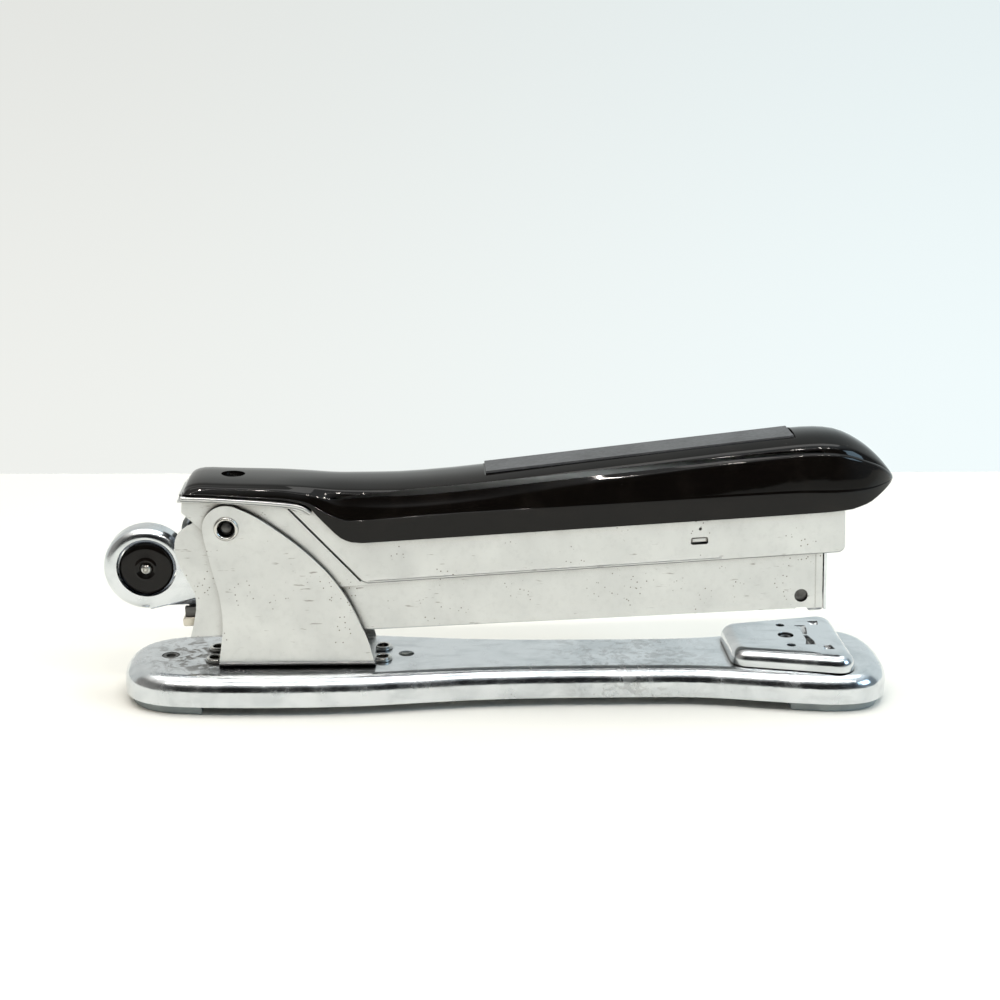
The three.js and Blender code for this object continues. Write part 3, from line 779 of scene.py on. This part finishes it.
def make_magazine():
    wing = spline([
        (-11.7, MAG_BOTTOM), (-10.4, -25.4), (-9.5, -21), (-9.8, -17.2), (-12.1, -11.8), (-13.6, -7),
        (-13.3, -3), (-11.6, -0.7), (-8.5, 1.2), (-4.6, 3.2),
    ], 60)
    shoulder = spline([(2.6, 3.8), (7, 1.4), (13, -5), (20, -10.6), (28, MAG_ROOF)], 30)
    foot = filleted([
        (MAG_FRONT, MAG_ROOF), (MAG_FRONT, MAG_BOTTOM - 0.3), (150.2, MAG_BOTTOM - 0.6),
        (148.3, MAG_BOTTOM - 0.6), (147.4, MAG_BOTTOM + 0.65), (144.8, MAG_BOTTOM + 0.65),
        (144.1, MAG_BOTTOM),
    ], 0.35, 3)
    side = wing + arc(0, 0, 4.6, 125, 60, 16) + shoulder + foot
    body = prism("magazine_sheet", side, -MAG_OUTER, MAG_OUTER)
    section = u_section(MAG_OUTER, MAG_SHEET, MAG_BOTTOM - 0.6, 10, 1.3)
    walls = prism("section", section, -20, 160, "X")
    floor = (MAG_BOTTOM - 0.5, MAG_BOTTOM + 0.8)
    joined(walls, block("floor", (-9.4, 149.9), (-MAG_OUTER + 0.4, MAG_OUTER - 0.4), floor))
    shared(body, walls)
    cut(
        body,
        block("rear_floor", (-20, -9.4), (-MAG_OUTER + MAG_SHEET, MAG_OUTER - MAG_SHEET), (-40, 10)),
        block("front_mouth", (149.9, 160), (-MAG_OUTER + MAG_SHEET, MAG_OUTER - MAG_SHEET), (-40, 10)),
        disc("pivot_hole", 0, 0, TUBE_HOLE, -12, 12),
        disc("nose_hole", 146.1, -25.8, 1.75, -12, 12),
        *[
            block("groove", (149.6, 149.9), sorted((side * 7.28, side * 9)), (-31, MAG_ROOF + 1))
            for side in (1, -1)
        ],
    )
    return softened(body, 0.13, 2)


def make_nose_plate():
    plate = block("nose_sheet", (151.9, 152.7), (-MAG_OUTER, MAG_OUTER), (-29.9, -12))
    return softened(plate, 0.25, 4)


def make_driver():
    strip = block("driver_strip", (151.1, 151.7), (-6.3, 6.3), (-21.9, 5))
    joined(strip, block("driver_tongue", (147.7, 151.7), (-3, 3), (4.2, 5)))
    return softened(strip, 0.1, 2)


# ---------------------------------------------------------------- loader
DRUM_RADIUS = 10.9
DRUM_HALF = 4.2
DRUM_SHEET = 0.8
DRUM_ROUND = 2.6
DRUM_WINDOW = 7.6
TAPE_HALF = 2.4


def make_drum_housing():
    """A drum with fat round rims, open over the spool and at the throat, and its tail under the rail."""
    half = DRUM_HALF
    circle = arc(DRUM_X, DRUM_Z, DRUM_RADIUS, 0, 356, 89)
    case = pillow("drum_case", circle, -half, half, DRUM_ROUND, DRUM_ROUND, "Y", 12)
    tail = prism("tail", [
        (DRUM_X, -22.69), (-9.5, -20.2), (-3, -20), (-3, -22.8), (6.5, -22.8), (7, -15), (-10, -13),
        (-12.5, -8), (-13.4, -5.1), (DRUM_X, DRUM_Z),
    ], -half + 0.15, half - 0.15)
    softened(tail, 0.7, 4, 60)
    joined(case, tail)
    throat = [(-13.35, -5.0), (-12.5, -8), (-9.5, -10.5), (-2, -9), (-6, 4), (-14, 2)]
    inner = arc(DRUM_X, DRUM_Z, DRUM_RADIUS - DRUM_SHEET, 38, 268, 60) + [
        (-9.5, -19.4), (-3, -19.2), (-3, -22.8), (6.5, -22.8), (6.2, -15.8), (-10, -13.8), (-13.3, -8),
    ]
    cut(
        case,
        prism("throat", throat, -12, 12),
        prism("inside", inner, -half + DRUM_SHEET, half - DRUM_SHEET),
        disc("window", DRUM_X + 0.25, DRUM_Z + 0.5, DRUM_WINDOW, -10, 10, sides=96),
        block("mouth", (-12, 20), (-half + DRUM_SHEET, half - DRUM_SHEET), (-30, 0)),
        block("tape_exit", (DRUM_X - 3, 20), (-2.7, 2.7), (-23, -21.3)),
    )
    return softened(case, 0.12, 2)


def make_spool():
    cheek = [
        (2.2, 3.85), (2.5, 4.0), (2.85, 3.9), (3.2, 3.6), (5.2, 3.5), (6.2, 3.3), (6.7, 3.05),
        (6.9, 2.8), (6.85, 2.6), (6.7, 2.5), (2.4, 2.5),
    ]
    half = [(1.35, 3.3), (1.6, 3.45)] + cheek
    return turned("spool_discs", mirrored(half), DRUM_X, DRUM_Z, "Y", 96)


def make_axle():
    head = [
        (0, 4.05), (0.3, 4.03), (0.42, 3.85), (0.6, 3.85), (0.7, 4.1), (0.95, 4.05), (1.12, 3.9),
        (1.14, 3.6), (1.0, 3.45),
    ]
    return turned("spool_axle_rivet", mirrored(head), DRUM_X, DRUM_Z, "Y", 48)


def make_drive_spring():
    """A clock-spring tape: wound round the hub, leaving the drum at the bottom and running to the pusher."""
    turns, steps, thick, half = 11, 40, 0.13, TAPE_HALF
    hub, full = 3.1, 10.15
    count = turns * steps
    loops = []
    for i in range(count + 1):
        t = i / count
        angle = math.radians(-90) - math.tau * turns * (1 - t)
        radius = hub + (full - hub) * t
        loops.append([
            (DRUM_X + (radius + r) * math.cos(angle), y, DRUM_Z + (radius + r) * math.sin(angle))
            for y, r in ((-half, -thick), (half, -thick), (half, thick), (-half, thick))
        ])
    for x, z in ((DRUM_X + 3, -21.95), (-8, -22.0), (147, -22.0)):
        loops.append([
            (x, -half, z + thick), (x, half, z + thick), (x, half, z - thick), (x, -half, z - thick),
        ])
    return loft("drive_tape", loops)


def make_latch():
    lever = block("latch_lever", (-8.9, 4), (-3.6, 3.6), (-27, -25.5))
    cut(lever, disc("pin_hole", 2.5, -26, 0.8, -12, 12, sides=32))
    shanks = [
        block("shank", (-12.8, -8.6), sorted((side * 3.0, side * 4.6)), (-24.9, -22.2))
        for side in (1, -1)
    ]
    joined(lever, *shanks)
    return softened(lever, 0.14, 2)


def make_latch_tab():
    """The pale finger tab folded over the end of the latch."""
    side = filleted([(-13.4, -27), (-8.6, -27), (-8.6, -24.7), (-13.4, -24.7)], 0.6, 6)
    return softened(prism("finger_tab", side, -5.6, 5.6), 0.2, 3)


# ---------------------------------------------------------------- handle metalwork
ARM_OUTER = 8.7
ARM_SHEET = 0.9
ARM_BOTTOM = -16.8
ARM_ROOF = 3.4
CHANNEL_OUTER = 9.8
CHANNEL_SHEET = 0.8
CHANNEL_BOTTOM = -17.1
CHANNEL_ROOF = 5
CHANNEL_FRONT = 156.6


def make_arm():
    side = [
        (-10.9, 4.5), (-6.3, -0.4), (-4.6, -4.4), (0, -6), (6, -8.6), (14, ARM_BOTTOM - 0.9),
        (44, ARM_BOTTOM - 0.9), (46, ARM_BOTTOM), (152, ARM_BOTTOM), (152, ARM_ROOF), (24, ARM_ROOF),
        (20.4, 4.2), (15.3, 5.6), (-4.4, 8.3), (-10.4, 8.9),
    ]
    low_roof = [
        (-12, 7.6), (-4.4, 7.2), (15.3, 4.5), (20.2, 3.2), (24, ARM_ROOF - ARM_SHEET),
        (160, ARM_ROOF - ARM_SHEET), (160, -30), (-12, -30),
    ]
    flange_top = spline([(-10.4, 9.2), (-4.4, 8.6), (6, 7.3), (15.3, 5.9), (19, 5.0), (21.4, 3.4)], 24)
    flange = [(-11.2, 7.7), (-4.4, 7.3), (15.3, 4.6), (20.6, 2.6)] + flange_top[::-1] + [
        (-10.6, 8.6), (-11.4, 8.6), (-11.4, 7.8)]
    shell = prism("arm_sheet", side, -ARM_OUTER, ARM_OUTER)
    tabs = block("tabs", (117.4, 120.8), (-9.15, 9.15), (-11.9, -11))
    joined(shell, prism("flange", flange, -10.5, 10.5), tabs)
    cut(
        shell,
        prism("inside", low_roof, -ARM_OUTER + ARM_SHEET, ARM_OUTER - ARM_SHEET),
        disc("pivot_hole", 0, 0, TUBE_HOLE, -12, 12),
        prism("slot_recess", [(116.6, -12.8), (121.6, -12.8), (121.6, -12.05), (116.6, -12.05)], -12, 12),
        prism("slot_recess", [(116.6, -10.85), (121.6, -10.85), (121.6, -10), (116.6, -10)], -12, 12),
        prism("gap_line", [(15.5, 3.7), (32.3, -16.7), (33.3, -15.9), (16.5, 4.3)], -12, 12),
        block("lip_end", (-12, -10.4), (6, 12), (8.1, 12)),
        block("lip_end", (-12, -10.4), (-12, -6), (8.1, 12)),
        disc("screw_hole", CAP_SCREW_X, 0, CAP_SCREW_HOLE, 0, 20, "Z", 40),
    )
    for side in (1, -1):
        lip = [(x, side * 10.35, z - 0.62) for x, z in flange_top]
        joined(shell, swept("flange_lip", lip, ring_section(0.68, 20)))
    return softened(shell, 0.14, 2, 40)


def make_channel():
    """The long inverted channel behind the cap, its lower rims rolled as far as the front third."""
    front = CHANNEL_FRONT
    side = [
        (21, 3.2), (15.9, 4.1), (32.8, CHANNEL_BOTTOM + 0.7), (34.3, CHANNEL_BOTTOM),
        (front - 2, CHANNEL_BOTTOM), *arc(front - 2, CHANNEL_BOTTOM + 2, 2, -80, 0, 10),
        (front, CHANNEL_ROOF), (24, CHANNEL_ROOF), (21.3, 4.2),
    ]
    inside = [(10, 4.2), (10, -30), (front - CHANNEL_SHEET, -30), (front - CHANNEL_SHEET, 4.2)]
    window = filleted([(116.9, -12.4), (121.3, -12.4), (121.3, -10.5), (116.9, -10.5)], 0.5, 5)
    shell = prism("channel_sheet", side, -CHANNEL_OUTER, CHANNEL_OUTER)
    softened(shell, 0.6, 4, 50)
    cut(shell, prism("inside", inside, -CHANNEL_OUTER + CHANNEL_SHEET, CHANNEL_OUTER - CHANNEL_SHEET))
    for side in (1, -1):
        bead = [(x, side * (CHANNEL_OUTER - 0.42), CHANNEL_BOTTOM + 0.62) for x in (34.5, 35.2, 124, 124.6)]
        joined(shell, swept("rim", bead, ring_section(0.56, 20)))
    cut(shell, prism("window", window, -20, 20), disc("dot", 119.4, -8.3, 0.4, -20, 20, sides=24))
    return softened(shell, 0.12, 2, 40)


# ---------------------------------------------------------------- cap
CAP_SCREW_X = 1.9
CAP_SCREW_HOLE = 1.5
COUNTERBORE = 3
BED_HALF = 5.5
CREST = spline([
    (-10.2, 9.9), (-9.3, 11.2), (-7.8, 12), (-5, 12.2), (1.3, 11.6), (18.9, 10.1), (30, 9.1), (44, 8.35),
    (56, 8.5), (66, 8.95), (85.3, 10.2), (105.8, 11.45), (126.4, 12.7), (144.5, 13.6), (152.2, 13.5),
    (157.5, 12.4), (162.6, 9.5), (166.5, 6), (169.3, 2.6), (170.9, 0.2),
], 160)
CAP_LOWER = [
    (-10.3, 9.5), (-9, 9.6), (-4.4, 9.3), (15.3, 6.6), (20.8, 5.0), (23.5, 1.5), (28, -3.6),
    (30.5, -5.0), (33.5, -5.4), (150, -5.4), (158, -5.3), (163, -4.4), (168, -2.1), (170.9, -0.8),
]
CAP_WIDTH = [
    (-10.3, 9.6), (-9.6, 10.5), (-8, 10.9), (16, 11.0), (30, 12.2), (37, 12.6), (135, 12.6), (146, 12.5),
    (152, 12.4), (156.5, 11.8), (161, 10.4), (164.5, 8.5), (167.5, 6.0), (169.8, 3.2), (170.9, 1.0),
]
# How far below the crest the rounded shoulder lies, and the height of the lower edge of the sloping side.
SHOULDER_DROP = [
    (-10.3, 0.5), (-8, 0.75), (12, 0.8), (20, 1.2), (30, 2.1), (60, 2.2), (106, 2.9), (144, 3.5),
    (156, 3.8), (162, 3.2), (167, 1.6), (171.3, 0.2),
]
RIDGE_DROP = [
    (-10.3, 0.3), (12, 0.5), (22, 1.0), (30, 2.6), (60, 2.6), (90, 1.9), (120, 1.0), (144, 0.7),
    (160, 0.6), (171.3, 0.1),
]
PARTING = [
    (-10.3, 9.3), (12, 7.4), (20, 5.9), (26, 2.4), (31, 0.5), (60, 0.9), (100, 0.7), (141, 0.4),
    (156, -0.4), (164, -0.7), (170.9, -0.5),
]


def linear(table, x):
    for (x0, v0), (x1, v1) in zip(table, table[1:]):
        if x <= x1:
            return v0 + (v1 - v0) * max(0, x - x0) / (x1 - x0)
    return table[-1][1]


def cap_section(x):
    """Half of the cap's cross section at x, from the middle of the top down to the lower edge, as (y, z)."""
    top = linear(CREST, x)
    half = lookup(CAP_WIDTH, x)
    low = linear(CAP_LOWER, x)
    shoulder = lookup(SHOULDER_DROP, x)
    ridge = lookup(RIDGE_DROP, x)
    parting = max(low + 0.15, min(lookup(PARTING, x), top - shoulder - ridge - 0.1))
    crown = [
        (half * u, top - shoulder * 0.62 * (u / 0.7) ** 2.4)
        for u in (0, 0.1, 0.2, 0.3, 0.4, 0.5, 0.6, 0.66, 0.7)
    ]
    turn = [(half * u, top - shoulder * v) for u, v in ((0.735, 0.74), (0.76, 0.88), (0.785, 1.08))]
    fall = top - shoulder - ridge
    hollow = [(half * u, top - shoulder - ridge * v) for u, v in ((0.81, 0.3), (0.845, 0.66), (0.872, 0.9))]
    edge = [(half * 0.89, fall - (fall - parting) * 0.05)]
    side = [
        (half * (0.89 + 0.1 * (0.75 * v + 0.25 * math.sin(math.pi / 2 * v))), fall - (fall - parting) * v)
        for v in (0.14, 0.26, 0.4, 0.54, 0.68, 0.82, 0.93, 0.985)
    ]
    skirt = [
        (half * 0.999, parting - 0.04), (half, parting - (parting - low) * 0.2),
        (half, parting - (parting - low) * 0.5), (half, parting - (parting - low) * 0.8),
        (half * 0.995, low + 0.12), (half * 0.985, low),
    ]
    return crown + turn + hollow + edge + side + skirt


def make_cap():
    stations = [-10.2 + 1.2 * math.sin(math.pi / 2 * k / 5) for k in range(6)]
    stations += [
        -8.4, -7.4, -6, -4, -2, 1, 4, 7, 10, 13, 15.3, 17, 18.6, 20, 21.4, 22.8, 24.2, 25.6, 27, 28.4,
        29.8, 31, 32.2, 33.5, 35, 37, 40, 44, 50, 58, 66, 76, 86, 96, 106, 116, 126, 135, 140, 144.5,
        148, 151, 153.5, 156, 158.2, 160.2, 162, 163.6, 165, 166.3, 167.4, 168.3, 169.1, 169.7, 170.2,
        170.6, 170.9,
    ]
    loops = []
    for x in stations:
        half = cap_section(x)
        ring = [(x, -y, z) for y, z in reversed(half)] + [(x, y, z) for y, z in half[1:]]
        loops.append(ring)
    shell = loft("cap_shell", loops)
    hollow = [
        (20.2, 3), (22, 6.2), (60, 7.2), (100, 9.0), (140, 10.6), (150, 10.2), (157, 6.4), (157, -20),
        (20.2, -20),
    ]
    tail = prism("tail", [(-8.6, 9.1), (-4.4, 8.9), (14, 6.6), (22.5, 6.0), (22.5, 2), (-8.6, 4)], -7.9, 7.9)
    bed = prism("plate_bed", [(65.6, 8.4), (144.9, 12.7), (144.5, 20), (65.6, 20)], -BED_HALF, BED_HALF)
    cut(
        shell,
        prism("inside", hollow, -10.1, 10.1),
        tail,
        bed,
        disc("counterbore", CAP_SCREW_X, 0, COUNTERBORE, 9.5, 20, "Z", 56),
        disc("screw_hole", CAP_SCREW_X, 0, CAP_SCREW_HOLE, 0, 20, "Z", 40),
    )
    return softened(shell, 0.16, 2, 50)


def make_name_plate():
    """The inlaid plate, left blank: a low flat field inside a narrow step."""
    side = [(65.9, 8.6), (144.5, 12.85), (144.4, 13.5), (65.9, 9.3)]
    plate = prism("blank_plate", side, 0.3 - BED_HALF, BED_HALF - 0.3)
    return softened(plate, 0.12, 2)


def make_cap_screw():
    head = turned("cap_screw_head", [
        (0, 6.2), (1.3, 6.2), (1.3, 9.55), (2.6, 9.55), (2.7, 9.7), (2.6, 10.1), (2.1, 10.4),
        (1.2, 10.5), (0, 10.55),
    ], CAP_SCREW_X, 0, "Z", 48)
    return cut(head, block("screw_slot", (-2, 6), (-0.35, 0.35), (10.1, 13)))


def make_handle_spring():
    outer = [(22, 2.1), (0, 5.5), *arc(-4.6, 0, 5.7, 95, 250, 40), (4, -7.2), (34, -11.4)]
    inner = [(34, -10.9), (4, -6.6), *arc(-4.6, 0, 5.1, 250, 95, 40), (0, 4.9), (22, 1.6)]
    return softened(prism("handle_leaf", outer + inner, -5.6, 5.6), 0.1, 2)


# ---------------------------------------------------------------- assembly
def assemble():
    mount(make_base(), DESK, "base", "base_plating", "base_shell")
    mount(make_foot("rear_pad", -110, -75.9), DESK, "base", "foot_rubber", "rear_foot")
    mount(make_foot("front_pad", 75.4, 110), DESK, "base", "foot_rubber", "front_foot")
    mount(make_rear_screw(), DESK, "base", "dark_steel", "rear_screw")
    mount(make_bracket(), DESK, "base", "satin_plating", "bracket")
    for i, (x, y) in enumerate(RIVET_SPOTS, 1):
        mount(make_eyelet(f"eyelet_{i}", x, y), DESK, "base", "rivet_steel", f"bracket_rivet_{i}")
    mount(make_pivot_rivet(), DESK, "base", "rivet_steel", "pivot_rivet")
    mount(make_pivot_pin(), DESK, "base", "dark_steel", "pivot_pin")
    mount(make_return_spring(), DESK, "base", "spring_steel", "return_spring")
    mount(make_anvil(), DESK, "anvil", "base_plating", "anvil_plate", look="part_plating")
    mount(make_anvil_stud(), DESK, "anvil", "dark_steel", "anvil_stud")
    mount(make_magazine(), MAGAZINE, "magazine", "satin_plating", "magazine")
    mount(make_nose_plate(), MAGAZINE, "magazine", "base_plating", "nose_plate", look="part_plating")
    mount(make_driver(), MAGAZINE, "blade", "spring_steel", "driver_blade")
    mount(make_drum_housing(), MAGAZINE, "loader", "base_plating", "drum_housing", look="part_plating")
    mount(make_spool(), MAGAZINE, "spool", "spool_plastic", "spool")
    mount(make_axle(), MAGAZINE, "loader", "rivet_steel", "spool_axle")
    mount(make_drive_spring(), MAGAZINE, "loader", "spring_steel", "drive_spring")
    mount(make_latch(), MAGAZINE, "latch", "dark_steel", "latch")
    mount(make_latch_tab(), MAGAZINE, "latch", "latch_steel", "latch")
    mount(make_arm(), HANDLE, "handle", "satin_plating", "handle_arm")
    mount(make_channel(), HANDLE, "handle", "satin_plating", "handle_channel")
    mount(make_cap(), HANDLE, "handle", "cap_plastic", "handle_cap", sharp=60)
    mount(make_name_plate(), HANDLE, "handle", "name_plate_grey", "name_plate")
    mount(make_cap_screw(), HANDLE, "handle", "dark_steel", "cap_screw")
    mount(make_handle_spring(), HANDLE, "handle", "spring_steel", "handle_spring")


KEPT_NODES = {
    "magazine_cover": "satin_plating",
    "core_rail": "satin_plating",
    "pusher": "dark_steel",
    "latch_pin": "rivet_steel",
    "latch_spring": "spring_steel",
    "anvil_washer": "spring_steel",
}


def finish_kept_nodes():
    for node, slot_name in KEPT_NODES.items():
        piece = frame["nodes"][node]
        piece.data.materials.clear()
        piece.data.materials.append(LOOKS[slot_name])


# ---------------------------------------------------------------- studio
DESK_BACK = 0.2195
DESK_REACH = 4.0
LAMP_COUNT = 9
LAMP_GAP = 0.1


def plain(name, colour):
    look = Look(name, Metallic=0.0, Roughness=0.9)
    tone = look.span(look.noise(0.35, 2), 0.3, 0.7)
    return look.finish(look.mix(tone, colour, tuple(c * 0.985 for c in colour)))


def make_floor():
    """The desk. It ends a hand's breadth behind the stapler, and the room's pale wall shows beyond it."""
    corners = [(-DESK_REACH, -DESK_REACH, 0), (DESK_REACH, -DESK_REACH, 0), (DESK_REACH, DESK_BACK, 0),
               (-DESK_REACH, DESK_BACK, 0)]
    desk = shape("desk", corners, [(0, 1, 2, 3)])
    desk.data.materials.append(plain("pale_floor", (0.88, 0.86, 0.80)))


def panel(name, place, aim, size, power, colour):
    light = bpy.data.lights.new(name, "AREA")
    light.shape = "RECTANGLE"
    light.size, light.size_y = size
    light.energy = power
    light.color = colour
    holder = bpy.data.objects.new(name, light)
    holder.location = place
    holder.rotation_euler = (Vector(aim) - Vector(place)).to_track_quat("-Z", "Y").to_euler()
    bpy.context.scene.collection.objects.link(holder)
    return holder


def make_room():
    """A pale wall behind the desk, light overhead and at the sides, and dim eye level in front."""
    world = bpy.data.worlds.new("room")
    bpy.context.scene.world = world
    world.use_nodes = True
    tree = world.node_tree

    def node(kind, operation=None, *inputs):
        made = tree.nodes.new(kind)
        if operation:
            made.operation = operation
        for socket, value in zip(made.inputs, inputs):
            if isinstance(value, (int, float)):
                socket.default_value = value
            else:
                tree.links.new(value, socket)
        return made.outputs[0]

    def ramp(source, *limits):
        made = node("ShaderNodeMapRange", None, source, *limits)
        made.node.interpolation_type = "SMOOTHSTEP"
        return made

    def blend(factor, a, b):
        made = tree.nodes.new("ShaderNodeMix")
        made.data_type = "RGBA"
        tree.links.new(factor, made.inputs["Factor"])
        for socket, value in ((made.inputs[6], a), (made.inputs[7], b)):
            if isinstance(value, tuple):
                socket.default_value = (*value, 1)
            else:
                tree.links.new(value, socket)
        return made.outputs[2]

    direction = tree.nodes.new("ShaderNodeTexCoord").outputs["Generated"]
    split = tree.nodes.new("ShaderNodeSeparateXYZ")
    tree.links.new(direction, split.inputs[0])
    x, y, z = split.outputs
    across = node("ShaderNodeMath", "ABSOLUTE", x)
    glow = node("ShaderNodeMath", "ADD", ramp(z, 0.55, 0.93, 0.015, 1.3), ramp(across, 0.45, 0.95, 0.0, 0.3))
    tint = blend(ramp(x, -0.8, 0.8, 0.0, 1.0), (1.0, 0.96, 0.90), (0.78, 0.91, 1.0))
    room = scaled(tree, tint, glow)
    room = blend(ramp(z, -0.03, -0.12, 0.0, 1.0), room, (1.0, 0.99, 0.96))
    wall = scaled(tree, blend(ramp(x, -0.25, 0.35, 0.0, 1.0), (0.79, 0.80, 0.77), (0.81, 0.89, 0.90)),
                  ramp(z, -0.27, 0.1, 1.1, 0.96))
    behind = node("ShaderNodeMath", "MULTIPLY", ramp(y, 0.05, 0.3, 0.0, 1.0), ramp(z, -0.5, -0.32, 0.0, 1.0))
    tree.links.new(blend(behind, room, wall), tree.nodes["Background"].inputs["Color"])


def scaled(tree, colour, amount):
    made = tree.nodes.new("ShaderNodeVectorMath")
    made.operation = "SCALE"
    tree.links.new(colour, made.inputs[0])
    tree.links.new(amount, made.inputs["Scale"])
    return made.outputs[0]


def light_scene():
    make_room()
    panel("overhead", (0.0, 0.05, 0.85), (0, 0.0, 0), (1.1, 0.32), 3.0, (1.0, 0.985, 0.955))
    panel("cool_side", (0.85, -0.45, 0.5), (0.08, 0, 0.02), (0.35, 0.35), 2.6, (0.55, 0.8, 1.0))
    panel("strip", (0.0, -0.5, 0.8), (0, 0, 0.05), (1.3, 0.01), 0.5, (1.0, 0.95, 0.9))
    for k in range(LAMP_COUNT):
        place = (-0.4 + LAMP_GAP * k, -0.45, 0.75)
        panel(f"lamp_{k}", place, (0, 0, 0.05), (0.014, 0.014), 0.3, (1.0, 0.93, 0.86))
    bpy.context.scene.view_settings.view_transform = "Standard"


CAMERA = {"yaw": 2.7755, "pitch": 16.0113, "roll": 0.5954, "place": (-20.622, -431.966, 176.227),
    "focal": 1.749219}


def place_camera():
    yaw, pitch, roll = (math.radians(CAMERA[k]) for k in ("yaw", "pitch", "roll"))
    ahead = Vector((math.sin(yaw) * math.cos(pitch), math.cos(yaw) * math.cos(pitch), -math.sin(pitch)))
    level = Vector((math.cos(yaw), -math.sin(yaw), 0))
    down = ahead.cross(level)
    right = level * math.cos(roll) - down * math.sin(roll)
    down = level * math.sin(roll) + down * math.cos(roll)
    data = bpy.data.cameras.new("camera")
    data.sensor_width = 36
    data.lens = CAMERA["focal"] * data.sensor_width
    data.clip_start = 0.01
    camera = bpy.data.objects.new("camera", data)
    turn = Matrix((right, -down, -ahead)).transposed().to_4x4()
    camera.matrix_world = Matrix.Translation(Vector(CAMERA["place"]) * MM) @ turn
    bpy.context.scene.collection.objects.link(camera)
    bpy.context.scene.camera = camera


place_camera()
assemble()
finish_kept_nodes()
make_floor()
light_scene()
